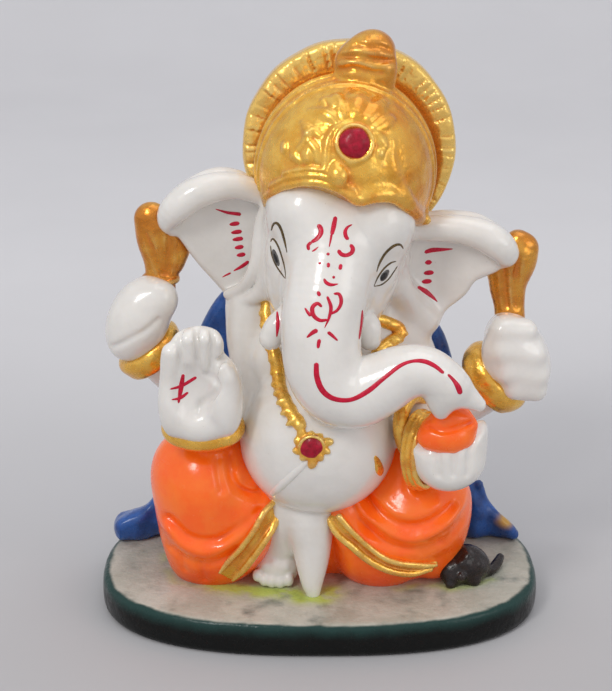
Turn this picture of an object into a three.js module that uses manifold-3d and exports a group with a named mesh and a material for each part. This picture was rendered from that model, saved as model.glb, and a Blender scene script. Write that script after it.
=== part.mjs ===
// A seated elephant-headed idol on an oval plinth: a small painted and lacquered resin casting.
// Millimetres, +Z up, the figure faces -Y. The origin is the middle of the plinth's underside.
// "right" and "left" are the figure's own, so its right hand is on the -X side.
import * as THREE from "three";
import { mergeVertices } from "three/addons/utils/BufferGeometryUtils.js";
import Module from "manifold-3d";

const wasm = await Module();
wasm.setup();

// Driving dimensions.
const PLINTH_WIDTH = 76;
const PLINTH_DEPTH = 48;
const PLINTH_HEIGHT = 6;
const PLINTH_SQUARENESS = 2.55; // exponent of the plinth's oval: 2 is an ellipse
const PLINTH_EDGE = 0.9; // rounding of the plinth's top edge
const GAP = 0.3; // left between neighbouring forms
const HEAD_TILT = THREE.MathUtils.degToRad(6); // the head leans to its left
const HEAD = new THREE.Vector3(2.4, -2.5, 64);
const BELLY = new THREE.Vector3(-0.4, -7.5, 32.4);
const HALO_RADIUS = 17.6;
const HALO_THICKNESS = 2.6;
const FIST_LEAN = THREE.MathUtils.degToRad(23); // each raised fist leans away from its forearm

// Paint and lacquer colours: [colour, roughness, metalness].
const PAINTS = {
  white: [0xf2efe9, 0.22, 0],
  gold: [0xc98a1c, 0.3, 0.75],
  orange: [0xf4581a, 0.22, 0],
  blue: [0x23469a, 0.3, 0],
  ruby: [0xb5122f, 0.25, 0],
  stone: [0x9d9a8c, 0.35, 0],
  dark: [0x2a2120, 0.4, 0],
};

// Small helpers.

function vector(p) {
  return p.isVector3 ? p.clone() : new THREE.Vector3(...p);
}

const UP_Y = new THREE.Vector3(0, 1, 0);

// A point given in the head's own axes, from the head's middle, in the part's frame.
function onHead(x, y, z) {
  return new THREE.Vector3(x, y, z).applyAxisAngle(UP_Y, HEAD_TILT).add(HEAD);
}

// The manifold solid of a closed three.js geometry.
function solid(geometry) {
  const bare = geometry.index ? geometry.toNonIndexed() : geometry.clone();
  for (const name of Object.keys(bare.attributes)) {
    if (name !== "position") bare.deleteAttribute(name);
  }
  const merged = mergeVertices(bare, 1e-4);
  const mesh = { numProp: 3, vertProperties: merged.attributes.position.array };
  const corners = new Uint32Array(merged.index.array);
  const made = new wasm.Manifold(new wasm.Mesh({ ...mesh, triVerts: corners }));
  if (made.volume() > 0) return made;
  for (let i = 0; i < corners.length; i += 3) {
    [corners[i + 1], corners[i + 2]] = [corners[i + 2], corners[i + 1]];
  }
  return new wasm.Manifold(new wasm.Mesh({ ...mesh, triVerts: corners }));
}

// A closed skin through rings of equally many points. Each end closes on the middle of its ring.
function skin(rings) {
  const around = rings[0].length;
  const middle = (ring) => ring.reduce((sum, p) => sum.add(p), new THREE.Vector3()).divideScalar(around);
  const points = [...rings.flat(), middle(rings[0]), middle(rings.at(-1))];
  const first = points.length - 2;
  const last = points.length - 1;
  const lastRing = (rings.length - 1) * around;
  const index = [];
  for (let k = 0; k < around; k++) {
    const next = (k + 1) % around;
    index.push(first, next, k, last, lastRing + k, lastRing + next);
    for (let r = 0; r < rings.length - 1; r++) {
      const a = r * around;
      index.push(a + k, a + next, a + around + k, a + next, a + around + next, a + around + k);
    }
  }
  return new THREE.BufferGeometry().setFromPoints(points).setIndex(index);
}

// A round or oval limb through stations { at, r } or { at, r: [across, through] }, with round ends.
// side is the direction of "across" at the first station.
function limb(stations, { side = [1, 0, 0], around = 8, steps = 2, grow = 0 } = {}) {
  const curve = new THREE.CatmullRomCurve3(stations.map((s) => vector(s.at)));
  const radii = stations.map((s) => (Array.isArray(s.r) ? s.r : [s.r, s.r]));
  const spans = stations.length - 1;
  const roundEnd = [0.5, 0.87]; // where the end rings lie on the end's quarter circle
  const rings = [];
  const across = vector(side);
  const addRing = (t, beyond, shrink) => {
    const tangent = curve.getTangent(t);
    across.addScaledVector(tangent, -across.dot(tangent)).normalize();
    const through = new THREE.Vector3().crossVectors(tangent, across);
    const span = Math.min(Math.floor(t * spans), spans - 1);
    const part = t * spans - span;
    const [a, b] = [0, 1].map((k) => THREE.MathUtils.lerp(radii[span][k], radii[span + 1][k], part) + grow);
    const middle = curve.getPoint(t).addScaledVector(tangent, beyond * Math.min(a, b));
    rings.push(
      Array.from({ length: around }, (_, k) => {
        const angle = (2 * Math.PI * k) / around;
        return middle
          .clone()
          .addScaledVector(across, a * shrink * Math.cos(angle))
          .addScaledVector(through, b * shrink * Math.sin(angle));
      }),
    );
  };
  for (const sine of [...roundEnd].reverse()) addRing(0, -sine, Math.sqrt(1 - sine * sine));
  for (let i = 0; i <= spans * steps; i++) addRing(i / (spans * steps), 0, 1);
  for (const sine of roundEnd) addRing(1, sine, Math.sqrt(1 - sine * sine));
  return solid(skin(rings));
}

// An egg shape of three half-axes, leaning by the head's tilt if asked.
function egg(at, radii, { grow = 0, tilt = 0, around = 16, rows = 9 } = {}) {
  const [a, b, c] = radii.map((r) => r + grow);
  const shape = new THREE.SphereGeometry(1, around, rows).rotateX(Math.PI / 2).scale(a, b, c).rotateY(tilt);
  const centre = vector(at);
  return solid(shape.translate(centre.x, centre.y, centre.z));
}

// A turned shape: an outline of [radius, height] pairs about an axis that leans by tilt.
function turned(at, outline, { tilt = 0, lean = 0, grow = 0, around = 16 } = {}) {
  const heights = outline.map((p) => p[1]);
  const low = Math.min(...heights);
  const high = Math.max(...heights);
  const points = outline.map(([r, h]) => {
    const z = h === low ? h - grow : h === high ? h + grow : h;
    return new THREE.Vector2(r > 0 ? r + grow : 0, z);
  });
  const shape = new THREE.LatheGeometry(points, around).rotateX(Math.PI / 2).rotateX(lean).rotateY(tilt);
  const centre = vector(at);
  return solid(shape.translate(centre.x, centre.y, centre.z));
}

// A ring: a round bar of radius bar, bent round the axis given.
function hoop(at, radii, bar, axis, { grow = 0, around = 12 } = {}) {
  const turn = new THREE.Quaternion();
  turn.setFromUnitVectors(new THREE.Vector3(0, 0, 1), vector(axis).normalize());
  const shape = new THREE.TorusGeometry(1, 0.5, 5, around);
  const position = shape.attributes.position;
  for (let i = 0; i < position.count; i++) {
    const p = new THREE.Vector3().fromBufferAttribute(position, i);
    const angle = Math.atan2(p.y, p.x);
    const out = (Math.hypot(p.x, p.y) - 1) * 2;
    const reach = [0, 1].map((k) => radii[k] + out * (bar + grow));
    p.set(reach[0] * Math.cos(angle), reach[1] * Math.sin(angle), p.z * 2 * (bar + grow));
    position.setXYZ(i, ...p.applyQuaternion(turn).add(vector(at)).toArray());
  }
  return solid(shape);
}

// The plinth's oval, as a three.js shape.
function plinthOutline(inset) {
  const half = [PLINTH_WIDTH / 2 - inset, PLINTH_DEPTH / 2 - inset];
  const corners = 48;
  const points = Array.from({ length: corners }, (_, k) => {
    const angle = (2 * Math.PI * k) / corners;
    const [c, s] = [Math.cos(angle), Math.sin(angle)];
    const reach = (value, size) => Math.sign(value) * Math.abs(value) ** (2 / PLINTH_SQUARENESS) * size;
    return new THREE.Vector2(reach(c, half[0]), reach(s, half[1]));
  });
  return new THREE.Shape(points);
}

// The plinth: a low oval slab, its top edge rounded.
function plinth(grow) {
  const slab = { depth: PLINTH_HEIGHT - PLINTH_EDGE, bevelEnabled: false };
  const crown = { depth: PLINTH_EDGE + grow, bevelEnabled: false };
  const lower = solid(new THREE.ExtrudeGeometry(plinthOutline(0), slab));
  const rim = new THREE.ExtrudeGeometry(plinthOutline(PLINTH_EDGE / 2), crown);
  return lower.add(solid(rim.translate(0, 0, slab.depth)));
}

// Body, legs and dress.

const belly = (grow) => egg(BELLY, [13, 12, 12.7], { grow });
const torso = (grow) => egg([0.5, 1, 42.5], [16.5, 9.5, 14.5], { grow, around: 10, rows: 6 });

const dhotiSeat = (grow) => egg([-1, 2, 12.5], [21, 10.6, 12], { grow, around: 14, rows: 8 });

const dhotiRightLeg = (grow) =>
  limb(
    [
      { at: [-12.5, 1, 19], r: 9 },
      { at: [-18.8, -4.2, 24], r: 9.2 },
      { at: [-18.6, -5.4, 13.6], r: [9, 7.8] },
    ],
    { around: 12, grow },
  );

const dhotiLeftLeg = (grow) =>
  limb(
    [
      { at: [13, 1, 17.5], r: [9.6, 9.6] },
      { at: [15.4, -4.4, 19], r: [9.8, 9.8] },
      { at: [12.6, -5.8, 11], r: [9.8, 7.2] },
    ],
    { around: 14, grow },
  );

const hemRight = (grow) =>
  limb(
    [
      { at: [-7.6, -11.6, 22], r: 1.4 },
      { at: [-9.4, -12.8, 16.8], r: 1.9 },
      { at: [-12.6, -12.4, 11.8], r: 1.9 },
      { at: [-16, -11.2, 8.4], r: 1.4 },
    ],
    { grow, around: 6, steps: 2 },
  );

const hemLeft = (grow) =>
  limb(
    [
      { at: [2.8, -12.4, 20.6], r: 1.4 },
      { at: [5, -13.6, 16], r: 1.9 },
      { at: [9.6, -14, 12], r: 1.9 },
      { at: [17.6, -12.6, 10.6], r: 1.5 },
    ],
    { grow, around: 8, steps: 2 },
  );

const footLeft = (grow) =>
  limb(
    [
      { at: [-1.8, -9.4, 20.5], r: [5, 4.6] },
      { at: [-1.6, -10.6, 15], r: [3.7, 3.6] },
      { at: [-1.4, -11.6, 10.8], r: [2.6, 2.6] },
      { at: [-1.2, -12.8, 7.8], r: [1.6, 1.5] },
    ],
    { grow },
  );

const footRight = (grow) => egg([-7.4, -8.2, 9.6], [4, 3.8, 5.2], { grow, around: 10, rows: 7 });

// Head, trunk, ears and tusks.

const head = (grow) => egg(onHead(0, 0, 0.4), [11.9, 11.6, 13.2], { grow, tilt: HEAD_TILT });

const trunk = (grow) =>
  limb(
    [
      { at: [1.6, -10.4, 65], r: [7.4, 6.6] },
      { at: [0.6, -14.8, 58.5], r: [6.6, 6.4] },
      { at: [0, -17.3, 52], r: [6.3, 6.1] },
      { at: [0.9, -18, 47.2], r: [6.1, 5.9] },
      { at: [5.5, -18.2, 44.8], r: [5.7, 5.6] },
      { at: [11, -18.9, 47.4], r: [4.7, 4.7] },
      { at: [16.6, -19.4, 48.6], r: [3.9, 3.9] },
      { at: [20.4, -19.4, 45.2], r: [3.4, 3.4] },
    ],
    { grow, around: 10, steps: 2 },
  );

// A tusk: a short blunt stub beside the trunk.
function tusk(root, tip, grow) {
  return limb(
    [
      { at: root, r: 2.2 },
      { at: tip, r: 2 },
    ],
    { grow, around: 10, side: [0, 1, 0] },
  );
}
const tuskRight = (grow) => tusk([-5.8, -12, 56], [-7.9, -13, 52.6], grow);
const tuskLeft = (grow) => tusk([6.4, -12, 56], [7.8, -13, 52.6], grow);

// An ear: a thick fan from the side of the head to its rolled outer edge. Each row runs from root to edge.
function ear(rows, thick, grow) {
  const across = 5; // steps along a row
  const rings = rows.map(({ root, edge, forward, t }) => {
    const a = vector(root);
    const b = vector(edge);
    const front = [];
    const back = [];
    for (let k = 0; k <= across; k++) {
      const u = k / across;
      const p = a.clone().lerp(b, u * (1 + grow / a.distanceTo(b)));
      p.y += forward * Math.sin(Math.PI * u) + (u > 0.8 ? -t * (u - 0.8) * 2.5 : 0);
      const half = (thick * (0.6 + 0.4 * t)) / 2 + grow;
      front.push(p.clone().add(new THREE.Vector3(0, -half, 0)));
      back.unshift(p.clone().add(new THREE.Vector3(0, half, 0)));
    }
    return [...front, ...back];
  });
  const [first, second] = rings;
  const [beforeLast, last] = rings.slice(-2);
  const beyond = grow + 0.01; // the end rows stay apart from their neighbours when nothing is grown
  const stretch = (ring, from) => ring.map((p, k) => p.clone().add(p.clone().sub(from[k]).setLength(beyond)));
  return solid(skin([stretch(first, second), ...rings, stretch(last, beforeLast)]));
}

const earRight = (grow) =>
  ear(
    [
      { root: [-6.5, 1, 73], edge: [-12.6, 0, 75.2], forward: 0, t: 0.4 },
      { root: [-7.5, 1, 71.6], edge: [-19.6, -1, 75.4], forward: 1, t: 0.9 },
      { root: [-8.2, 1, 69.4], edge: [-25.2, -2, 71.6], forward: 2, t: 1 },
      { root: [-8.6, 1, 66.2], edge: [-25.6, -2, 67], forward: 2.5, t: 1 },
      { root: [-8.6, 1, 62], edge: [-21.8, -0.5, 62.2], forward: 2.4, t: 0.6 },
      { root: [-8.4, 0, 58], edge: [-17.6, 0, 56.6], forward: 1.4, t: 0.4 },
      { root: [-8, -1, 55.4], edge: [-13.6, -0.5, 53.4], forward: 0.4, t: 0.3 },
    ],
    4.4,
    grow,
  );

const earLeft = (grow) =>
  ear(
    [
      { root: [12.5, 1, 70.5], edge: [19.5, 0, 70.8], forward: 0, t: 0.4 },
      { root: [13, 1, 68.8], edge: [26.5, -1, 69], forward: 1, t: 0.9 },
      { root: [13.4, 1, 66], edge: [31, -2, 65.6], forward: 2, t: 1 },
      { root: [13.6, 1, 62.6], edge: [30.8, -2, 61.4], forward: 2.5, t: 1 },
      { root: [13.6, 1, 58.5], edge: [25.6, -0.5, 57], forward: 2.4, t: 0.6 },
      { root: [13.2, 0, 54], edge: [22, 0, 51.2], forward: 1.4, t: 0.4 },
      { root: [12.4, -1, 50], edge: [18.6, -0.5, 47], forward: 0.4, t: 0.3 },
    ],
    4.4,
    grow,
  );

// Crown.

// The rim's plane: its normal, and how far from the head's middle it lies on the head's forward line.
const rimNormal = new THREE.Vector3(0, 0.45, 0.9).normalize().applyAxisAngle(UP_Y, HEAD_TILT);
const rimMiddle = onHead(0.2, -1.7, 6.1);

const crownCap = (grow) =>
  egg(onHead(0.2, 0.6, 12.6), [14.4, 12.8, 15.2], {
    grow,
    tilt: HEAD_TILT,
    around: 18,
    rows: 10,
  }).trimByPlane(rimNormal.toArray(), rimNormal.dot(rimMiddle) - grow);

const crownBand = (grow) => hoop(rimMiddle, [12.6, 11.6], 1.2, rimNormal, { grow, around: 20 });

const crownHalo = (grow) => {
  const outline = [
    [0, 0],
    [HALO_RADIUS, 0],
    [HALO_RADIUS, HALO_THICKNESS],
    [0, HALO_THICKNESS],
  ];
  return turned([4.7, 6, 78.6], outline, { lean: Math.PI / 2, tilt: HEAD_TILT, grow, around: 32 });
};

const crownFinial = (grow) =>
  turned(
    [6.7, 0.4, 89.6],
    [
      [0, 0],
      [3, 0],
      [4.4, 2.2],
      [4.8, 4.6],
      [4, 6.8],
      [2.2, 8.4],
      [0, 9.4],
    ],
    { tilt: HEAD_TILT * 2, grow, around: 18 },
  );

const gemAt = onHead(0.2, -11.2, 20.4);
const crownGem = (grow) => egg(gemAt, [2.4, 1.6, 2.4], { grow, around: 14, rows: 8 });
const gemBezel = (grow) => hoop(gemAt, [3.2, 3.2], 0.8, [0, -1, 0.25], { grow });

// Jewellery on the chest.

const pendantAt = [-1.5, -19.4, 35.9];
const pendantGem = (grow) => egg(pendantAt, [2, 1.5, 2], { grow, around: 10, rows: 7 });
const pendant = (grow) => egg([-1.5, -18.9, 35.9], [3.4, 1.5, 3.4], { grow, around: 12, rows: 6 });

const necklaceRight = (grow) =>
  limb(
    [
      { at: [-8.6, -5.8, 57], r: 1.4 },
      { at: [-8.2, -8.6, 51], r: 1.5 },
      { at: [-7, -13.6, 45], r: 1.6 },
      { at: [-5.2, -17.6, 39.6], r: 1.8 },
      { at: [-3.2, -18.9, 36.8], r: 1.4 },
    ],
    { grow, around: 8, steps: 2 },
  );

const necklaceLeft = (grow) =>
  limb(
    [
      { at: [12.2, -6.6, 53.6], r: 1.5 },
      { at: [10.4, -8.4, 50.4], r: 1.6 },
      { at: [8, -13, 45.6], r: 1.5 },
      { at: [4.6, -17, 41], r: 1.5 },
      { at: [0.8, -18.8, 38], r: 1.3 },
    ],
    { grow, around: 8, steps: 2 },
  );

const sacredThread = (grow) =>
  limb(
    [
      { at: [-2.8, -18.9, 31.4], r: 0.9 },
      { at: [-5.6, -17.6, 28.6], r: 0.9 },
      { at: [-8, -15.8, 26.4], r: 0.9 },
    ],
    { grow, around: 6, steps: 2 },
  );

// Arms and hands.

const armRightFront = (grow) =>
  limb(
    [
      { at: [-11.7, 0.4, 51], r: 4.4 },
      { at: [-11.6, -2, 43.6], r: 4 },
      { at: [-13.4, -5.2, 37.8], r: 4 },
      { at: [-18, -9.8, 36.2], r: 4.2 },
    ],
    { grow },
  );
const cuffRightFront = (grow) => hoop([-19.2, -11.6, 36], [5, 3.4], 1.8, [0, -0.3, 0.95], { grow });
const palmRight = (grow) =>
  limb(
    [
      { at: [-19.4, -13.4, 37.6], r: [5.4, 3.2] },
      { at: [-19.1, -14.2, 42], r: [6.5, 3.4] },
      { at: [-19.6, -14.6, 47], r: [6.1, 2.9] },
      { at: [-20, -14.8, 52], r: [4.6, 2.4] },
    ],
    { grow, around: 12, steps: 2 },
  );

const armRightRear = (grow) =>
  limb(
    [
      { at: [-11, 2.5, 39.5], r: 4.2 },
      { at: [-19.5, 4.2, 37.6], r: 4 },
      { at: [-26, 4, 41], r: 3.9 },
      { at: [-28.6, 2.2, 45], r: 3.8 },
    ],
    { grow },
  );
const cuffRightRear = (grow) => hoop([-28.6, 1.5, 44.6], [4.5, 4.5], 1.9, [-0.6, -0.12, 0.79], { grow });
const fistRightRear = (grow) =>
  egg([-29.6, -0.4, 51.4], [5, 5, 7.4], { grow, tilt: FIST_LEAN, around: 12, rows: 8 });
const axeRight = (grow) =>
  limb(
    [
      { at: [-26.3, 0.6, 56], r: [2.6, 2.4] },
      { at: [-26.2, 1.2, 61], r: [3.4, 2.6] },
      { at: [-27.2, 1.4, 66.4], r: [3.6, 2.7] },
    ],
    { grow, around: 10, steps: 2 },
  );

const armLeftRear = (grow) =>
  limb(
    [
      { at: [13.4, 2.5, 40], r: 4.2 },
      { at: [20, 4, 35.4], r: 4 },
      { at: [26.5, 4, 35], r: 3.9 },
      { at: [30.2, 2, 39], r: 3.8 },
    ],
    { grow },
  );
const cuffLeftRear = (grow) => hoop([29.5, 1, 40], [5, 4.8], 2, [0.72, -0.2, 0.66], { grow });
const fistLeftRear = (grow) =>
  egg([32.6, -1.4, 44.9], [4.8, 5.4, 7.4], { grow, tilt: -FIST_LEAN, around: 14, rows: 9 });
const goadLeft = (grow) =>
  limb(
    [
      { at: [31.7, 0.5, 50.5], r: [2.6, 2.4] },
      { at: [31.2, 1.2, 56], r: [3, 2.7] },
      { at: [32.2, 1.4, 61.2], r: [3.7, 2.8] },
    ],
    { grow, around: 10, steps: 2 },
  );

const armLeftFront = (grow) =>
  limb(
    [
      { at: [13.6, 1.5, 47], r: 4.7 },
      { at: [15.7, 0, 41], r: 4.6 },
      { at: [16, -6, 35], r: 4.4 },
      { at: [18, -12, 33], r: 4.2 },
    ],
    { grow },
  );
const bangleLeftFront = (grow) => hoop([16.8, -12.6, 32.3], [6.2, 4.7], 1.5, [0.8, -0.6, 0.05], { grow });
const handLeftFront = (grow) =>
  limb(
    [
      { at: [20.6, -15.4, 30.4], r: [5.2, 4] },
      { at: [20.8, -15.8, 33], r: [6.2, 4.2] },
      { at: [20.9, -15.8, 35.4], r: [6.1, 4] },
    ],
    { grow, around: 12, steps: 2 },
  );
const modak = (grow) =>
  turned(
    [20, -17, 36],
    [
      [0, 0],
      [4.4, 0],
      [4.7, 2.6],
      [3.9, 5],
      [1.9, 6.6],
      [0, 7.2],
    ],
    { grow, around: 14 },
  );

// The blue cloth that hangs behind the figure, from its shoulders to two flared ends on the plinth.
function backCloak(grow) {
  const levels = [
    { z: PLINTH_HEIGHT + GAP, half: 35.4, front: 9, back: 13, thick: 4.6 },
    { z: 8.5, half: 34.6, front: 9, back: 12.8, thick: 4.6 },
    { z: 13, half: 29.4, front: 9, back: 12.4, thick: 4.4 },
    { z: 20, half: 26.6, front: 8, back: 11.8, thick: 4.2 },
    { z: 30, half: 25, front: 7, back: 10.4, thick: 4 },
    { z: 42, half: 22, front: 6.4, back: 8.8, thick: 3.8 },
    { z: 51, half: 16.4, front: 7.2, back: 8.6, thick: 3.8 },
    { z: 56, half: 9.4, front: 7.8, back: 8.6, thick: 3.6 },
  ];
  const across = 6;
  const rings = levels.map(({ z, half, front, back, thick }, row) => {
    const level = z + (row === levels.length - 1 ? grow : 0);
    const reach = half + grow;
    const wall = (shift) =>
      Array.from({ length: across + 1 }, (_, k) => {
        const u = (2 * k) / across - 1;
        return new THREE.Vector3(u * reach, back + (front - back) * u * u + shift, level);
      });
    return [...wall(-thick / 2 - grow), ...wall(thick / 2 + grow).reverse()];
  });
  return solid(skin(rings));
}

// The mouse at the foot of the plinth, with its tail.
const mouseBody = (grow) => egg([25.2, -6.6, 8.8], [3.8, 3.5, 3.6], { grow, around: 10, rows: 7 });
const mouseHead = (grow) =>
  limb(
    [
      { at: [22.6, -8.2, 8.8], r: 2.4 },
      { at: [22, -10, 7.8], r: 1.2 },
    ],
    { grow, around: 10, side: [0, 1, 0] },
  );
const mouseTail = (grow) =>
  limb(
    [
      { at: [27.8, -5.8, 7.6], r: 1.2 },
      { at: [30, -4.6, 7.5], r: 1.1 },
      { at: [31.5, -1.8, 7.6], r: 1 },
    ],
    { grow, around: 8, steps: 2 },
  );

// Every form, in the order in which it takes its place: a later form is cut back from the earlier ones.
const FORMS = [
  ["plinth", plinth, "stone"],
  ["belly", belly, "white"],
  ["pendant_gem", pendantGem, "ruby"],
  ["pendant", pendant, "gold"],
  ["necklace_right", necklaceRight, "gold"],
  ["necklace_left", necklaceLeft, "gold"],
  ["sacred_thread", sacredThread, "white"],
  ["crown_gem", crownGem, "ruby"],
  ["gem_bezel", gemBezel, "gold"],
  ["modak", modak, "orange"],
  ["trunk", trunk, "white"],
  ["tusk_right", tuskRight, "white"],
  ["tusk_left", tuskLeft, "white"],
  ["head", head, "white"],
  ["crown_band", crownBand, "gold"],
  ["crown_cap", crownCap, "gold"],
  ["crown_finial", crownFinial, "gold"],
  ["crown_halo", crownHalo, "gold"],
  ["palm_right_front", palmRight, "white"],
  ["cuff_right_front", cuffRightFront, "gold"],
  ["arm_right_front", armRightFront, "white"],
  ["hand_left_front", handLeftFront, "white"],
  ["bangle_left_front", bangleLeftFront, "gold"],
  ["arm_left_front", armLeftFront, "white"],
  ["fist_right_rear", fistRightRear, "white"],
  ["cuff_right_rear", cuffRightRear, "gold"],
  ["axe_right", axeRight, "gold"],
  ["arm_right_rear", armRightRear, "white"],
  ["fist_left_rear", fistLeftRear, "white"],
  ["cuff_left_rear", cuffLeftRear, "gold"],
  ["goad_left", goadLeft, "gold"],
  ["arm_left_rear", armLeftRear, "white"],
  ["torso", torso, "white"],
  ["ear_right", earRight, "white"],
  ["ear_left", earLeft, "white"],
  ["foot_left", footLeft, "white"],
  ["foot_right", footRight, "white"],
  ["dhoti_hem_right", hemRight, "gold"],
  ["dhoti_hem_left", hemLeft, "gold"],
  ["mouse_head", mouseHead, "dark"],
  ["mouse_body", mouseBody, "dark"],
  ["mouse_tail", mouseTail, "dark"],
  ["dhoti_leg_right", dhotiRightLeg, "orange"],
  ["dhoti_leg_left", dhotiLeftLeg, "orange"],
  ["dhoti_seat", dhotiSeat, "orange"],
  ["back_cloak", backCloak, "blue"],
];

// The largest body of a solid, so that a cut leaves no loose slivers.
function largest(made) {
  const bodies = made.decompose();
  return bodies.reduce((best, body) => (body.volume() > best.volume() ? body : best));
}

function geometryOf(made) {
  const mesh = made.getMesh();
  const points = new Float32Array(mesh.numVert * 3);
  for (let i = 0; i < mesh.numVert; i++) {
    points.set(mesh.vertProperties.subarray(i * mesh.numProp, i * mesh.numProp + 3), i * 3);
  }
  const geometry = new THREE.BufferGeometry().setAttribute("position", new THREE.BufferAttribute(points, 3));
  return geometry.setIndex(new THREE.BufferAttribute(mesh.triVerts, 1));
}

const idol = new THREE.Group();
const earlier = [];
for (const [name, form, paint] of FORMS) {
  const made = largest(earlier.reduce((rest, grown) => rest.subtract(grown), form(0)));
  earlier.push(form(GAP));
  const geometry = geometryOf(made);
  geometry.computeBoundingBox();
  const seat = geometry.boundingBox.getCenter(new THREE.Vector3());
  geometry.translate(-seat.x, -seat.y, -seat.z);
  geometry.computeVertexNormals();
  const [color, roughness, metalness] = PAINTS[paint];
  const mesh = new THREE.Mesh(geometry, new THREE.MeshStandardMaterial({ color, roughness, metalness }));
  mesh.name = name;
  mesh.position.copy(seat);
  idol.add(mesh);
}

export default idol;
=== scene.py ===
"""A painted, lacquered casting of a seated elephant-headed idol, sculpted as solid clay round
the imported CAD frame.

Each form is a signed distance field on a grid of small cells: positive outside, negative inside,
zero on its skin.
Lengths are millimetres in the figure's own frame (+Z up, facing -Y, its left hand on +X) until a mesh
is made.
The figure is written as rows of numbers: pile says how a form's rows read, and
Strokes how a painted mark's do.
"""

import math

import bmesh
import bpy
import numpy as np
import openvdb
from mathutils import Euler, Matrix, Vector


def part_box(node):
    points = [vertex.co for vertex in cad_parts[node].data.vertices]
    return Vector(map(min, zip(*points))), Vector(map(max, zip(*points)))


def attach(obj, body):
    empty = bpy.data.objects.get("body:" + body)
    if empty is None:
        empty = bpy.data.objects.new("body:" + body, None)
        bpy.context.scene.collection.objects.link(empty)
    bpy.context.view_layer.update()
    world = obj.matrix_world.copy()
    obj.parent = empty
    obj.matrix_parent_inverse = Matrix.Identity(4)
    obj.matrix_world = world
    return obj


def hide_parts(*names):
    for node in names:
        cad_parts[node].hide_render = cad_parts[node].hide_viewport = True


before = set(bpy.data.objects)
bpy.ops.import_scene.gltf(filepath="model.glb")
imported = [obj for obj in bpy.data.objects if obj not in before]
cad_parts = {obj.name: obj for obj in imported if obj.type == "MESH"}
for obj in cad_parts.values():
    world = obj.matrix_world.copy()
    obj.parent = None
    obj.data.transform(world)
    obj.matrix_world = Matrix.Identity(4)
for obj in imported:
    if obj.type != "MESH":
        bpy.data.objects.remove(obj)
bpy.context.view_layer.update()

MM = 0.001
BODY_CELL = 0.36  # cell size of the white body's grid
FINE_CELL = 0.28  # cell size of the carved and painted forms
FAR = 6.0  # the distance that stands for "nowhere near"
TINY = 1e-9  # keeps a division from being by nothing
HEAD = np.array((2.4, -2.5, 64.0))
HEAD_TILT = 6.0  # degrees that the head leans to its left
PLINTH_HIGH = np.array(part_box("plinth")[1]) / MM
PLINTH_TOP = PLINTH_HIGH[2]
PLINTH_SQUARENESS = 2.55  # the power of its superellipse: 2 is an ellipse

# ---------------------------------------------------------------- camera, floor and light

CAMERA_TARGET = Vector((-2.4, 0.0, 46.0)) * MM
CAMERA_DISTANCE = 290 * MM
CAMERA_ELEVATION = math.radians(20)
EYE = CAMERA_TARGET + CAMERA_DISTANCE * Vector((0, -math.cos(CAMERA_ELEVATION), math.sin(CAMERA_ELEVATION)))


def put(name, data):
    """An object of that data, in the scene."""
    made = bpy.data.objects.new(name, data)
    bpy.context.scene.collection.objects.link(made)
    return made


def aim(thing, place, target):
    thing.location = place
    thing.rotation_euler = (Vector(target) - Vector(place)).to_track_quat("-Z", "Y").to_euler()


def add_camera():
    data = bpy.data.cameras.new("camera")
    data.lens = 90
    data.clip_start = 0.01
    data.clip_end = 10
    bpy.context.scene.camera = put("camera", data)
    aim(bpy.context.scene.camera, EYE, CAMERA_TARGET)


def add_light(name, place, target, size, watts, colour):
    """A soft rectangular light, its place and size in metres."""
    data = bpy.data.lights.new(name, "AREA")
    data.shape = "RECTANGLE"
    data.size, data.size_y = size
    data.energy = watts
    data.color = colour
    aim(put(name, data), place, target)


def add_studio():
    """A pale floor that sweeps up behind the object, a pale sky, and soft lamps."""
    width, front, back, height, bend = 1.6, -0.9, 0.75, 0.9, 0.35
    profile = [(front, 0.0), (back - bend, 0.0)]
    for k in range(1, 13):
        angle = math.pi / 2 * k / 12
        profile.append((back - bend + bend * math.sin(angle), bend - bend * math.cos(angle)))
    profile.append((back, height))
    points = [(side * width, y, z) for y, z in profile for side in (-1, 1)]
    faces = [(2 * k, 2 * k + 1, 2 * k + 3, 2 * k + 2) for k in range(len(profile) - 1)]
    mesh = bpy.data.meshes.new("studio_sweep")
    mesh.from_pydata(points, [], faces)
    mesh.polygons.foreach_set("use_smooth", [True] * len(mesh.polygons))
    mesh.materials.append(backdrop_material())
    sweep = put("studio_sweep", mesh)

    world = bpy.data.worlds.new("soft_sky")
    bpy.context.scene.world = world
    world.use_nodes = True
    background = world.node_tree.nodes["Background"]
    background.inputs["Color"].default_value = (0.90, 0.90, 0.93, 1)
    background.inputs["Strength"].default_value = 0.74
    add_light("window", (-0.28, -0.42, 0.52), (0, 0, 0.05), (0.13, 0.20), 1.2, (1.0, 0.99, 0.97))
    add_light("ceiling", (0.12, -0.02, 0.75), (0, 0, 0.04), (0.5, 0.5), 0.8, (0.97, 0.98, 1.0))
    add_light("side", (0.5, -0.35, 0.3), (0, 0, 0.05), (0.3, 0.3), 0.42, (1.0, 0.98, 0.96))
    bpy.context.scene.view_settings.view_transform = "Standard"
    bpy.context.scene.view_settings.exposure = 0.0


# ---------------------------------------------------------------- materials


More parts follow.
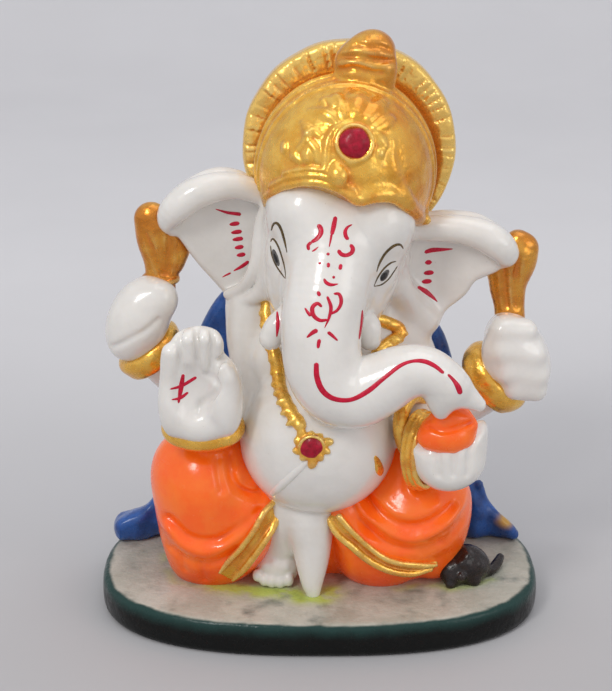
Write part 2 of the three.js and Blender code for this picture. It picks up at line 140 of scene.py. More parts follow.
class Paint:
    """A node material in the making: a principled shader, and short ways to feed it."""

    def __init__(self, name):
        self.material = bpy.data.materials.new(name)
        self.material.use_nodes = True
        self.tree = self.material.node_tree
        self.shader = self.tree.nodes["Principled BSDF"]
        self.place = self.node("ShaderNodeTexCoord").outputs["Object"]

    def node(self, kind, **settings):
        made = self.tree.nodes.new(kind)
        for key, value in settings.items():
            setattr(made, key, value)
        return made

    def feed(self, socket, value):
        if isinstance(value, bpy.types.NodeSocket):
            self.tree.links.new(value, socket)
        else:
            socket.default_value = value

    def made_by(self, kind, output, fed, **settings):
        """That output of a new node, its inputs fed from a table by name or number."""
        made = self.node(kind, **settings)
        for key, value in fed.items():
            self.feed(made.inputs[key], value)
        return made.outputs[output]

    def noise(self, per_mm, detail=3.0, rough=0.5, warp=0.0, stretch=None):
        """Smooth noise from 0 to 1, per_mm bumps to the millimetre."""
        place = self.place
        if stretch:
            place = self.made_by("ShaderNodeMapping", "Vector", {"Scale": stretch, "Vector": place})
        fed = {"Vector": place, "Scale": per_mm / MM, "Detail": detail}
        fed.update({"Roughness": rough, "Distortion": warp})
        return self.made_by("ShaderNodeTexNoise", "Fac", fed)

    def attribute(self, name):
        return self.node("ShaderNodeAttribute", attribute_name=name).outputs["Fac"]

    def along(self, axis):
        """The place along X (0), Y (1) or Z (2), in metres."""
        return self.made_by("ShaderNodeSeparateXYZ", axis, {0: self.place})

    def ramp(self, value, low, high, start=0.0, end=1.0):
        fed = {"Value": value, "From Min": low, "From Max": high, "To Min": start, "To Max": end}
        return self.made_by("ShaderNodeMapRange", "Result", fed, interpolation_type="SMOOTHSTEP")

    def math(self, operation, a, b):
        return self.made_by("ShaderNodeMath", 0, {0: a, 1: b}, operation=operation)

    def scaled(self, value, share):
        return self.math("MULTIPLY", value, share)

    def mix(self, share, a, b):
        a, b = (c if isinstance(c, bpy.types.NodeSocket) else (*c, 1) for c in (a, b))
        return self.made_by("ShaderNodeMix", 2, {0: share, 6: a, 7: b}, data_type="RGBA")

    def cloudy(self, grain, low, high, first, second):
        """Two colours that drift into each other. grain is the noise's own values."""
        return self.mix(self.ramp(self.noise(*grain), low, high), first, second)

    def bent(self, way, low, high):
        """Where the skin is bent that way, "hollow" or "ridge", by more than low and wholly at high."""
        return self.ramp(self.attribute(way), low, high)

    def bump(self, *layers):
        """Each layer is a noise's own values, then the depth in millimetres."""
        normal = None
        for *grain, depth in layers:
            fed = {"Strength": 1.0, "Distance": depth * MM, "Height": self.noise(*grain)}
            if normal is not None:
                fed["Normal"] = normal
            normal = self.made_by("ShaderNodeBump", "Normal", fed)
        self.feed(self.shader.inputs["Normal"], normal)

    def finish(self, colour, rough, **fixed):
        """rough is one number, or a noise's bumps to the millimetre and detail, then the least and the most.
        fixed holds the shader's sockets that are the same all over, by name with _ for a space."""
        if isinstance(rough, tuple):
            per_mm, detail, least, most = rough
            rough = self.ramp(self.noise(per_mm, detail), 0.3, 0.7, least, most)
        self.feed(self.shader.inputs["Base Color"], colour)
        self.feed(self.shader.inputs["Roughness"], rough)
        for key, value in fixed.items():
            self.shader.inputs[key.replace("_", " ")].default_value = value
        return self.material


def backdrop_material():
    paint = Paint("backdrop")
    # painted shade: the floor is darker towards the front and lighter towards the back
    near = paint.mix(paint.noise(0.02, 2), (0.43, 0.425, 0.43), (0.47, 0.465, 0.475))
    far = paint.mix(paint.noise(0.02, 2), (0.70, 0.695, 0.71), (0.75, 0.745, 0.76))
    return paint.finish(paint.mix(paint.ramp(paint.along(1), -0.10, 0.22), near, far), 0.75)


def ivory_material():
    """Off-white cast resin under a thick, slightly uneven clear lacquer, its hollows darkened as a painted
    shade.
    """
    paint = Paint("ivory_lacquer")
    tint = paint.cloudy((0.11, 4, 0.6), 0.35, 0.7, (0.85, 0.82, 0.775), (0.775, 0.745, 0.70))
    # painted shade: the hollows turn darker and browner
    tint = paint.mix(paint.scaled(paint.bent("hollow", 0.12, 0.8), 0.6), tint, (0.45, 0.375, 0.31))
    speck = paint.ramp(paint.noise(2.4, 1, 0.4), 0.78, 0.82)
    tint = paint.mix(paint.scaled(speck, 0.25), tint, (0.42, 0.36, 0.30))
    paint.bump((0.35, 2, 0.10), (1.6, 2, 0.012))
    return paint.finish(
        tint, (0.5, 3, 0.16, 0.26), Coat_Weight=0.6, Coat_Roughness=0.05,
        Subsurface_Weight=0.15, Subsurface_Radius=(1.0, 0.8, 0.6), Subsurface_Scale=0.7 * MM,
    )  # fmt: skip


def gold_material():
    """Pearly gold paint with random orange-brown patches. A painted shade turns it orange-brown in the
    recesses, and a painted highlight makes it pale on the ridges and over the halo.
    """
    paint = Paint("gold_paint")
    tint = paint.cloudy((0.35, 4, 0.62), 0.3, 0.7, (0.86, 0.42, 0.040), (0.97, 0.58, 0.10))
    pool = paint.ramp(paint.noise(0.13, 3, 0.6), 0.50, 0.70)
    tint = paint.mix(paint.scaled(pool, 0.7), tint, (0.80, 0.25, 0.012))
    # painted highlight: where the pale attribute is set, over the whole halo, the gold turns pale
    tint = paint.mix(paint.attribute("pale"), tint, (1.0, 0.66, 0.17))
    # browner gold: all over the finial and the two tools, and as a painted shade on the crown's left-hand
    # side
    brown_and_shade_share = paint.scaled(paint.attribute("brown_and_shade"), paint.ramp(paint.noise(0.3, 3), 0.3, 0.6, 0.5, 1.0))
    tint = paint.mix(brown_and_shade_share, tint, (0.62, 0.20, 0.012))
    # painted shade: the recesses turn orange-brown and less metallic
    deep = paint.bent("hollow", 0.03, 0.45)
    tint = paint.mix(paint.scaled(deep, 0.9), tint, (0.66, 0.17, 0.006))
    # painted highlight: the ridges turn pale gold
    tint = paint.mix(paint.scaled(paint.bent("ridge", 0.08, 0.6), 0.6), tint, (1.0, 0.78, 0.30))
    paint.bump((0.5, 2, 0.26), (1.5, 3, 0.6, 0.04))
    paint.feed(paint.shader.inputs["Metallic"], paint.ramp(deep, 0.0, 1.0, 0.68, 0.30))
    return paint.finish(tint, (1.1, 3, 0.18, 0.32), Coat_Weight=0.4, Coat_Roughness=0.07)


def orange_material():
    """Bright orange paint, darker red in the folds and near the plinth as a painted shade, with a faint
    painted glow.
    """
    paint = Paint("orange_paint")
    cloud = (0.2, 4, 0.6)
    tint = paint.cloudy(cloud, 0.3, 0.7, (1.0, 0.125, 0.006), (1.0, 0.19, 0.016))
    height = paint.math("ADD", paint.along(2), paint.scaled(paint.noise(*cloud), 5 * MM))
    # painted shade: darker red low down near the plinth and in the folds
    near_plinth = paint.ramp(height, (PLINTH_TOP + 1.0) * MM, (PLINTH_TOP + 10.0) * MM, 1.0, 0.0)
    low_and_fold_shade = paint.math("MAXIMUM", paint.scaled(near_plinth, 0.75), paint.bent("hollow", 0.08, 0.7))
    tint = paint.mix(low_and_fold_shade, tint, (0.62, 0.035, 0.006))
    paint.bump((0.4, 2, 0.12), (1.8, 2, 0.012))
    # painted glow: the orange gives off a little light of its own
    return paint.finish(
        tint, (0.6, 3, 0.17, 0.28), Coat_Weight=0.35, Coat_Roughness=0.06, Specular_IOR_Level=0.4,
        Emission_Color=(1.0, 0.10, 0.0, 1.0), Emission_Strength=0.10,
    )  # fmt: skip


def blue_material():
    """Blue paint with a bloom of wear, its hollows darkened as a painted shade."""
    paint = Paint("blue_paint")
    tint = paint.cloudy((0.3, 5, 0.65), 0.35, 0.7, (0.020, 0.105, 0.40), (0.012, 0.052, 0.22))
    # painted shade: the hollows turn near black
    tint = paint.mix(paint.bent("hollow", 0.08, 0.8), tint, (0.006, 0.014, 0.055))
    tint = paint.mix(paint.attribute("gilt"), tint, (0.55, 0.30, 0.045))
    paint.bump((0.6, 3, 0.14), (3.0, 2, 0.02))
    rough = (0.9, 3, 0.24, 0.42)
    return paint.finish(tint, rough, Coat_Weight=0.35, Coat_Roughness=0.12, Specular_IOR_Level=0.35)


def ruby_material(name="ruby_paint", light=(0.66, 0.006, 0.045), dark=(0.50, 0.003, 0.028)):
    """Crimson paint, streaky where it is thick."""
    paint = Paint(name)
    tint = paint.cloudy((1.2, 4, 0.6), 0.3, 0.7, light, dark)
    paint.bump((3.0, 3, 0.03))
    rough = (2.5, 2, 0.24, 0.42)
    return paint.finish(tint, rough, Coat_Weight=0.1, Coat_Roughness=0.1, Specular_IOR_Level=0.3)


def dark_material(name="dark_paint", light=(0.026, 0.015, 0.013), dark=(0.008, 0.005, 0.005)):
    """Near-black brown paint, glossy, with paler brown on its ridges as a painted highlight."""
    paint = Paint(name)
    tint = paint.cloudy((0.9, 4, 0.65), 0.3, 0.75, dark, light)
    # painted highlight: paler brown on the ridges
    tint = paint.mix(paint.scaled(paint.bent("ridge", 0.1, 0.9), 0.3), tint, (0.11, 0.075, 0.06))
    paint.bump((1.4, 4, 0.6, 0.10))
    rough = (1.8, 3, 0.16, 0.36)
    return paint.finish(tint, rough, Coat_Weight=0.2, Coat_Roughness=0.12, Specular_IOR_Level=0.35)


def plinth_material():
    """Mottled stone-like paint on top, deep green round the side, and yellow-green paint round the feet."""
    paint = Paint("marbled_plinth")
    top = paint.cloudy((0.09, 5, 0.62, 1.2), 0.35, 0.68, (0.56, 0.54, 0.465), (0.44, 0.435, 0.365))
    streak = paint.ramp(paint.noise(0.5, 5, 0.65, 0.6, (1.0, 2.6, 1.0)), 0.5, 0.8)
    top = paint.mix(paint.scaled(streak, 0.5), top, (0.64, 0.61, 0.555))
    brown = paint.ramp(paint.noise(0.14, 4, 0.6), 0.56, 0.72)
    top = paint.mix(paint.scaled(brown, 0.3), top, (0.27, 0.225, 0.16))
    patchy = paint.ramp(paint.noise(0.3, 4), 0.26, 0.58, 0.0, 0.85)
    top = paint.mix(paint.scaled(paint.attribute("green_run"), patchy), top, (0.49, 0.58, 0.13))
    wavy = paint.math("ADD", paint.along(2), paint.scaled(paint.noise(0.25, 3), 1.6 * MM))
    rim = paint.mix(paint.ramp(wavy, 4.0 * MM, 6.4 * MM), (0.0026, 0.0030, 0.0026), (0.016, 0.050, 0.044))
    upper = paint.ramp(wavy, (PLINTH_TOP - 0.1) * MM, (PLINTH_TOP + 0.75) * MM)
    edge = paint.math("ADD", paint.attribute("edge"), paint.scaled(paint.noise(0.3, 3), 0.6))
    upper = paint.scaled(upper, paint.ramp(edge, 0.75, 1.15, 1.0, 0.0))
    paint.bump((0.25, 4, 0.6, 0.30), (1.5, 3, 0.03))
    rough = (0.35, 4, 0.16, 0.36)
    tint = paint.mix(upper, rim, top)
    return paint.finish(tint, rough, Coat_Weight=0.05, Coat_Roughness=0.1, Specular_IOR_Level=0.22)


# ---------------------------------------------------------------- shapes


class Shape:
    """A signed distance, and the box outside which it is of no interest."""

    def __init__(self, low, high, distance):
        self.low, self.high, self.distance = np.array(low, float), np.array(high, float), distance


def on_head(x, y, z):
    """A point in the head's own leaning axes, from its middle."""
    angle = math.radians(HEAD_TILT)
    across, up = x * math.cos(angle) + z * math.sin(angle), z * math.cos(angle) - x * math.sin(angle)
    return HEAD + (across, y, up)


def in_head_axes(x, y, z):
    """The head's own leaning axes at a point: the reverse of on_head."""
    angle = math.radians(HEAD_TILT)
    dx, dz = x - HEAD[0], z - HEAD[2]
    cos, sin = math.cos(angle), math.sin(angle)
    return dx * cos - dz * sin, y - HEAD[1], dx * sin + dz * cos


def egg(at, radii, turn=(0, 0, 0)):
    """An ellipsoid with its half-axes turned by degrees about X, Y and Z."""
    at, radii = np.array(at, float), np.array(radii, float)
    matrix = np.array(Euler([math.radians(t) for t in turn]).to_matrix())
    reach = np.sqrt((matrix**2 * radii**2).sum(1))

    def distance(x, y, z):
        from_middle = (x - at[0], y - at[1], z - at[2])
        local = [sum(matrix[k][i] * from_middle[k] for k in range(3)) / radii[i] for i in range(3)]
        near = np.sqrt(local[0] ** 2 + local[1] ** 2 + local[2] ** 2)
        steep = np.sqrt(sum((local[i] / radii[i]) ** 2 for i in range(3)))
        return near * (near - 1) / np.maximum(steep, 1e-6)

    return Shape(at - reach, at + reach, distance)


def spline(stations, per_span):
    """A smooth run through the stations, every column of them."""
    p = np.array(stations, float)
    p = np.vstack([2 * p[0] - p[1], p, 2 * p[-1] - p[-2]])
    out = []
    for k in range(1, len(p) - 2):
        for t in np.arange(per_span) / per_span:
            a, b, c, d = p[k - 1 : k + 3]
            bend = (2 * a - 5 * b + 4 * c - d) * t**2
            out.append(0.5 * (2 * b + (c - a) * t + bend + (3 * b - a - 3 * c + d) * t**3))
    return np.vstack([out, p[-2]])


def lengths(path):
    """The distance along a path from its start to each of its points."""
    return np.concatenate([[0], np.cumsum(np.linalg.norm(np.diff(path, axis=0), axis=1))])


def limb(stations, flat=None):
    """A round-ended bar through stations (x, y, z, radius). flat is (direction, thickness share)."""
    run = spline(stations, 4)
    squash, share = np.eye(3), 1.0
    if flat:
        direction, share = np.array(flat[0], float), flat[1]
        squash += (1 / share - 1) * np.outer(direction, direction)
    low, high = (run[:, :3] - run[:, 3:]).min(0), (run[:, :3] + run[:, 3:]).max(0)
    line = run[:, :3] @ squash.T

    def distance(x, y, z):
        if flat:
            x, y, z = (squash[i][0] * x + squash[i][1] * y + squash[i][2] * z for i in range(3))
        best = None
        for a, b, thick, next_thick in zip(line[:-1], line[1:], run[:-1, 3], run[1:, 3]):
            way = b - a
            dx, dy, dz = x - a[0], y - a[1], z - a[2]
            t = np.clip((dx * way[0] + dy * way[1] + dz * way[2]) / max(way @ way, TINY), 0, 1)
            gap = np.sqrt((dx - t * way[0]) ** 2 + (dy - t * way[1]) ** 2 + (dz - t * way[2]) ** 2)
            gap -= thick + t * (next_thick - thick)
            best = gap if best is None else np.minimum(best, gap)
        return best * (0.5 + 0.5 * share)

    return Shape(low, high, distance)


def even(path, radius):
    """Stations along a path, all of one radius or each of its own."""
    return np.column_stack([path, np.broadcast_to(np.array(radius, float), len(path))])


def off_line(run, x, z):
    """Squared distance in a plane from the line through run's points."""
    near = np.full(np.broadcast(x, z).shape, 1e9)
    for (ax, az), (bx, bz) in zip(run[:-1], run[1:]):
        wx, wz = bx - ax, bz - az
        t = np.clip(((x - ax) * wx + (z - az) * wz) / max(wx * wx + wz * wz, TINY), 0, 1)
        near = np.minimum(near, (x - ax - t * wx) ** 2 + (z - az - t * wz) ** 2)
    return near


def inside_outline(outline, x, z):
    """Signed distance in a plane from a closed outline, negative inside it."""
    closed = np.vstack([outline, outline[:1]])
    inside = np.zeros(np.broadcast(x, z).shape, bool)
    for (ax, az), (bx, bz) in zip(closed[:-1], closed[1:]):
        rise = bz - az if abs(bz - az) > TINY else TINY
        inside ^= ((az > z) != (bz > z)) & (x < ax + (z - az) * (bx - ax) / rise)
    return np.where(inside, -1, 1) * np.sqrt(off_line(closed, x, z))


def rounded(across, along, rounding):
    """Distance to a slab from those to its faces and to its edge, the corner between them rounded off."""
    across, along = across + rounding, along + rounding
    outer = np.sqrt(np.maximum(across, 0) ** 2 + np.maximum(along, 0) ** 2)
    return outer + np.minimum(np.maximum(across, along), 0) - rounding


def plate(points, middle, half, reach, per_span=5):
    """A plate of that outline in X and Z. middle(x, z) is its mid-depth, half(x, z) half its thickness.
    reach is the lowest and highest Y that it can have."""
    p = np.array(points, float)
    outline = spline(np.vstack([p[-1:], p, p[:2]]), per_span)[per_span : per_span * (len(p) + 1)]

    def distance(x, y, z):
        thick = half(x, z)
        return rounded(np.abs(y - middle(x, z)) - thick, inside_outline(outline, x, z), 0.9 * thick)

    low, high = outline.min(0), outline.max(0)
    return Shape((low[0], reach[0], low[1]), (high[0], reach[1], high[1]), distance)


def blended(a, b, width):
    """The smaller of two distances, with a fillet of that width where they meet."""
    if not width:
        return np.minimum(a, b)
    h = np.clip(0.5 + 0.5 * (b - a) / width, 0, 1)
    return b + (a - b) * h - width * h * (1 - h)


class Clay:
    """A lump of clay on a grid. A thing added may belong to a named form, and the lump is cut up by form."""

    SUNK_SLOPE = 0.35  # how fast a form's skin sinks under its neighbours
    OVERLAP = 0.7  # how far it reaches under them, in millimetres

    def __init__(self, low, high, cell=FINE_CELL):
        self.low, self.high, self.cell = np.array(low, float), np.array(high, float), cell
        count = np.ceil((self.high - self.low) / cell).astype(int) + 1
        self.field = np.full(count, FAR, np.float32)
        self.forms = {}

    def window(self, low, high, margin):
        """The cells of a box and a margin, as slices, and their X, Y and Z."""
        first = np.floor((low - margin - self.low) / self.cell).astype(int)
        last = np.ceil((high + margin - self.low) / self.cell).astype(int) + 1
        first, last = np.maximum(first, 0), np.minimum(last, self.field.shape)
        part = tuple(slice(a, b) for a, b in zip(first, last))
        axes = [self.low[k] + self.cell * np.arange(first[k], last[k]) for k in range(3)]
        return part, axes[0][:, None, None], axes[1][None, :, None], axes[2][None, None, :]

    def measure(self, shape, blend):
        part, x, y, z = self.window(shape.low, shape.high, blend + 3 * self.cell)
        return part, shape.distance(x, y, z).astype(np.float32)

    def add(self, shape, blend, form=None):
        part, new = self.measure(shape, blend)
        self.field[part] = blended(self.field[part], new, blend)
        if form:
            own = self.forms.setdefault(form, np.full(self.field.shape, FAR, np.float32))
            own[part] = np.minimum(own[part], new)

    def cut(self, shape, blend):
        part, new = self.measure(shape, blend)
        self.field[part] = -blended(-self.field[part], new, blend)

    def at(self, points, field=None):
        """The field between the cells, at points in millimetres."""
        field = self.field if field is None else field
        place = np.clip((points - self.low) / self.cell, 0, np.array(field.shape) - 1.001)
        corner = place.astype(int)
        f = place - corner
        total = 0
        for i in (0, 1):
            for j in (0, 1):
                for k in (0, 1):
                    weight = abs(1 - i - f[:, 0]) * abs(1 - j - f[:, 1]) * abs(1 - k - f[:, 2])
                    total = total + weight * field[corner[:, 0] + i, corner[:, 1] + j, corner[:, 2] + k]
        return total

    def slope(self, points, field=None):
        """The field's unit gradient, which is the skin's outward normal."""
        steps = np.eye(3) * (0.7 * self.cell)
        grad = np.stack([self.at(points + s, field) - self.at(points - s, field) for s in steps], axis=1)
        return grad / np.maximum(np.linalg.norm(grad, axis=1, keepdims=True), TINY)

    def skin(self, field=None):
        """(vertices, quads, normals) of the zero level, in millimetres."""
        own = self.field if field is None else field
        near = np.argwhere(own < 2 * self.cell)
        first = np.maximum(near.min(0) - 3, 0)
        last = np.minimum(near.max(0) + 4, own.shape)
        part = np.pad(own[tuple(slice(a, b) for a, b in zip(first, last))], 1, constant_values=FAR)
        grid = openvdb.FloatGrid(FAR)
        grid.copyFromArray(np.ascontiguousarray(np.clip(part, -FAR, FAR), np.float32))
        points, _, quads = grid.convertToPolygons(isovalue=0.0, adaptivity=0.0)
        points = self.low + (points.astype(float) + first - 1) * self.cell
        for _ in range(2):  # slide the vertices on to the skin itself
            off = np.clip(self.at(points, own), -self.cell, self.cell)[:, None]
            points = points - off * self.slope(points, own) * 0.9
        return points, quads.astype(int), self.slope(points, own)

    def form_field(self, form):
        """The lump cut back to one form, its cut edges sunk a little under the neighbouring forms."""
        own = self.forms[form]
        others = np.full(own.shape, FAR, np.float32)
        for name, other in self.forms.items():
            if name != form:
                np.minimum(others, other, out=others)
        beyond = (own - others) / 2
        return np.maximum(self.field + self.SUNK_SLOPE * np.maximum(beyond, 0), beyond - self.OVERLAP)


def pile(clay, form, rows):
    """Adds a form's rows in turn. A row is a fillet's width, then a shape, or an egg's (middle, half-axes,
    turn), or a limb's stations (x, y, z, radius)."""
    for blend, *parts in rows:
        shape = parts[0]
        if not isinstance(shape, Shape):
            shape = egg(*parts) if len(parts[0]) == 3 else limb(parts)
        clay.add(shape, blend, form)


def bend_of(points, quads, normals, cell):
    """How hollow (+) or ridged (-) the skin is at each vertex, smoothed over its neighbours."""
    a = quads.ravel()
    b = np.roll(quads, -1, axis=1).ravel()
    start, end = np.concatenate([a, b]), np.concatenate([b, a])
    count = np.maximum(np.bincount(start, minlength=len(points)), 1)

    def average(values):
        return np.bincount(start, values[end], len(points)) / count

    middle = np.stack([average(points[:, k]) for k in range(3)], axis=1)
    bend = ((middle - points) * normals).sum(1) / cell**2
    for _ in range(3):
        bend = 0.5 * bend + 0.5 * average(bend)
    return bend


def make_piece(name, points, faces, material, slot, replaces=(), normals=None, attributes=None):
    """A mesh object in metres that rides on the casting and stands for the CAD nodes named."""
    mesh = bpy.data.meshes.new(name)
    mesh.vertices.add(len(points))
    mesh.vertices.foreach_set("co", (np.asarray(points, float) * MM).ravel())
    mesh.loops.add(faces.size)
    mesh.loops.foreach_set("vertex_index", faces.ravel())
    mesh.polygons.add(len(faces))
    mesh.polygons.foreach_set("loop_start", np.arange(0, faces.size, faces.shape[1]))
    mesh.update()
    mesh.validate()
    mesh.polygons.foreach_set("use_smooth", [True] * len(mesh.polygons))
    for key, values in (attributes or {}).items():
        mesh.attributes.new(key, "FLOAT", "POINT").data.foreach_set("value", np.asarray(values, np.float32))
    if normals is not None:
        mesh.normals_split_custom_set_from_vertices([tuple(n) for n in normals])
    mesh.materials.append(material)
    piece = put(name, mesh)
    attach(piece, "root")
    for node in replaces:
        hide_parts(node)
    return mesh


def cast(node, clay, material, slot, field=None, extra=None):
    """Makes the clay's skin a piece in place of that node, its hollows and ridges kept for the paint."""
    points, quads, normals = clay.skin(field)
    if field is not None:  # shade by the whole lump, so that cut edges don't show
        on_lump = np.abs(clay.at(points)) < 0.12
        normals[on_lump] = clay.slope(points[on_lump])
    bend = bend_of(points, quads, normals, clay.cell)
    attributes = {"hollow": np.clip(bend, 0, 1.5), "ridge": np.clip(-bend, 0, 1.5)}
    if extra:
        attributes.update(extra(points))
    make_piece(f"{node}_form", points, quads, material, slot, (node,), normals, attributes)


# ---------------------------------------------------------------- the painter's eye


def thrown(clay, points, depth):
    """Where sight lines from the camera through points (x, z) at that depth Y meet the clay's skin."""
    eye = np.array(EYE) / MM
    target = np.array([(p[0], depth, p[1]) for p in points], float)
    way = target - eye
    way /= np.linalg.norm(way, axis=1, keepdims=True)
    aimed = ((target - eye) * way).sum(1)
    along = aimed - 24.0
    for _ in range(90):
        gap = clay.at(eye + way * along[:, None])
        along += np.clip(gap * 0.8, -0.4, 2.0)
    along = np.where(np.abs(gap) < 0.3, along, aimed)  # a line that misses the clay stops at the depth named
    return eye + way * along[:, None]


def laid(clay, depth, sink, stations):
    """A round bar laid along the skin where the camera sees the stations (x, z, radius). sink is how far its
    middle lies under the skin, in radii."""
    run = np.array(stations, float)
    path = thrown(clay, run, depth)
    return limb(even(path - clay.slope(path) * (sink * run[:, 2])[:, None], run[:, 2]))


# ---------------------------------------------------------------- the white figure

BELLY_AT, BELLY_SIZE = (-0.4, -7.5, 32.4), (13.0, 12.0, 12.7)


def sculpt_trunk_and_face(clay):
    pile(clay, "head", [
        (2, on_head(0, 0.5, 1.5), (11.9, 11.2, 12.6), (0, HEAD_TILT, 0)),
        (3, on_head(-0.6, -3.4, -4.5), (10.2, 9.2, 10.5), (0, HEAD_TILT, 0)),
        (3, on_head(-5.4, -5.0, 6.8), (6.6, 6.8, 6.6)),
        (3, on_head(5.4, -5.0, 6.2), (6.6, 6.6, 6.6)),
    ])
    pile(clay, "trunk", [
        (2.4, (1.8, -7.2, 68.5, 7.2), (1.6, -11.2, 64.5, 7.1), (0.9, -14.3, 60.4, 6.7),
         (0.1, -16.2, 56.5, 6.45), (0, -17.4, 52.6, 6.3), (0.5, -17.9, 48.9, 6.2), (2.3, -18, 45.8, 6.15),
         (5.5, -18.2, 44.7, 5.75), (9.5, -18.8, 46.5, 5), (12.4, -19.1, 48.2, 4.5),
         (15.4, -19.4, 48.9, 4.05), (17.9, -19.5, 48, 3.8), (19.7, -19.4, 46, 3.5)),
        (1, (19, -19.7, 46.2, 3.1), (18.9, -19.9, 43.8, 2.2), (18.9, -19.9, 42.3, 1.4)),
        (1.2, (20.4, -19.4, 46.4, 3), (22.8, -19.2, 44.5, 2), (25, -19, 43, 1.1)),
    ])
    pile(clay, "tusk_right", [
        (0.5, (-5.6, -12.4, 56.4, 1.2), (-7, -12.9, 54, 2), (-8, -13.1, 52, 1.9)),
    ])
    pile(clay, "tusk_left", [
        (0.5, (6.2, -12, 56.2, 1.2), (7.4, -12.9, 54, 2.1), (7.8, -13.1, 51.8, 1.8)),
    ])
    for x, z, sign in ((-7.2, 64.8, -1), (10.4, 62.2, 1)):  # the eyes swell a little from their sockets
        spot = thrown(clay, [(x, z)], -11)[0]
        clay.add(egg(spot + (-0.9 * sign, 1.6, 0), (2.4, 2.2, 3.2)), 1.6)


def ear_plate(outline, root, forward, reach_y):
    """An ear's dished plate, swept forward by that much at its edge. reach_y is the Y it lies between."""

    def middle(x, z):
        reach = np.abs(x - root) / 18.0
        return 1.6 - forward * reach**2 + 0.9 * np.sin(np.pi * np.clip(reach, 0, 1))

    return plate(outline, middle, lambda x, z: 1.45 + 0 * x * z, reach_y)


def sculpt_ears(clay):
    outline = [
        (-6, 70), (-8.8, 71.4), (-10.9, 73.8), (-12.5, 75.3), (-15, 76.1), (-17.2, 76.2), (-19.8, 75.5),
        (-23.1, 73.8), (-25.1, 71.8), (-26.1, 69.7), (-26, 68), (-25, 66.6), (-23.3, 64.8), (-21.7, 62.2),
        (-20.1, 59.8), (-18.2, 57.4), (-16.3, 55), (-14.6, 53.4), (-12.4, 53.3), (-9, 55), (-5, 60),
    ]
    clay.add(ear_plate(outline, -8.0, 2.6, (-5, 6)), 1.6, "ear_right")
    pile(clay, "ear_right", [
        (1, (-7.8, -0.2, 70.6, 1.4), (-10.9, -0.6, 72.9, 1.9), (-15.2, -1.4, 74, 2.3),
         (-20.2, -2, 72.8, 2.6), (-23.6, -2.2, 70.3, 2.4), (-24.9, -1.6, 68, 1.6),
         (-24.4, -0.8, 66.2, 0.8)),
        (0.6, (-8.6, -1.4, 71.4, 0.7), (-9.7, -2.3, 68.6, 0.95), (-10.2, -2.9, 65.2, 1.05),
         (-10.4, -3, 62.2, 1.1), (-11.4, -2.6, 59.1, 1.1), (-13.1, -1.6, 56.6, 1),
         (-15.4, -0.4, 55.2, 0.8)),
        (0.5, (-8.2, -3.4, 62.4, 1.2), (-8.9, -3.8, 58.6, 1.3), (-10.7, -3.1, 55.8, 1.3),
         (-13.6, -1.3, 54, 1.1)),
    ])
    outline = [
        (10, 67.5), (13, 69), (17.6, 68.7), (20.7, 69), (25.4, 68.8), (28.6, 67.5), (31, 65.4), (32, 63.1),
        (31.4, 61.3), (30.1, 60.5), (29, 59.2), (27, 58), (25.6, 57), (24.3, 54.8), (22.7, 53.2),
        (21.2, 51.9), (20, 50.6), (18.6, 48.4), (15, 48.6), (11, 52), (9, 60),
    ]
    clay.add(ear_plate(outline, 13.0, 3.0, (-6, 6)), 1.6, "ear_left")
    pile(clay, "ear_left", [
        (1, (14, -0.8, 66.8, 1.8), (18, -1, 66.7, 2.1), (22, -1.6, 66.8, 2.3), (25.6, -2.2, 66.2, 2.5),
         (28.4, -2.6, 64.8, 2.6), (30.2, -2.4, 62.9, 2.1), (30.2, -1.4, 61.4, 1.2)),
        (3, (12.6, -2, 61, 1.6), (13.2, -2.2, 57, 2), (15.4, -0.9, 53.4, 2), (18, -0.1, 50.6, 1.6)),
    ])


def sculpt_trunk_of_body(clay):
    pile(clay, "belly", [
        (0, BELLY_AT, BELLY_SIZE),
    ])
    pile(clay, "torso", [
        (1.4, (0.8, 1, 43.5), (13.5, 8.8, 13.5)),
        (2.5, (-9, 1.5, 50.5, 5.4), (0.8, 1.5, 52.5, 7), (12.5, 1.5, 47.5, 5.4)),
        (2.4, (-5.4, -4.2, 45), (6.2, 5, 6)),
        (2.4, (7.6, -4.2, 44), (6.2, 5, 6)),
    ])


def sculpt_front_arms(clay):
    pile(clay, "arm_right_front", [
        (0.7, (-11.6, 0.4, 52.4, 4.3), (-11.8, -1.2, 47.8, 3.9), (-11.4, -2.6, 42.4, 3.7),
         (-13.2, -5, 37.6, 3.9), (-17.8, -9.8, 36, 4.2)),
    ])
    sculpt_raised_palm(clay)
    pile(clay, "arm_left_front", [
        (1, (13.5, 1.5, 47.4, 4.6), (15.6, 0.4, 42, 4.6), (15.8, -3.6, 36.6, 4.5), (16.4, -8.4, 33.8, 4.3),
         (18.2, -12.6, 32.8, 4.3)),
    ])
    sculpt_cupped_hand(clay)


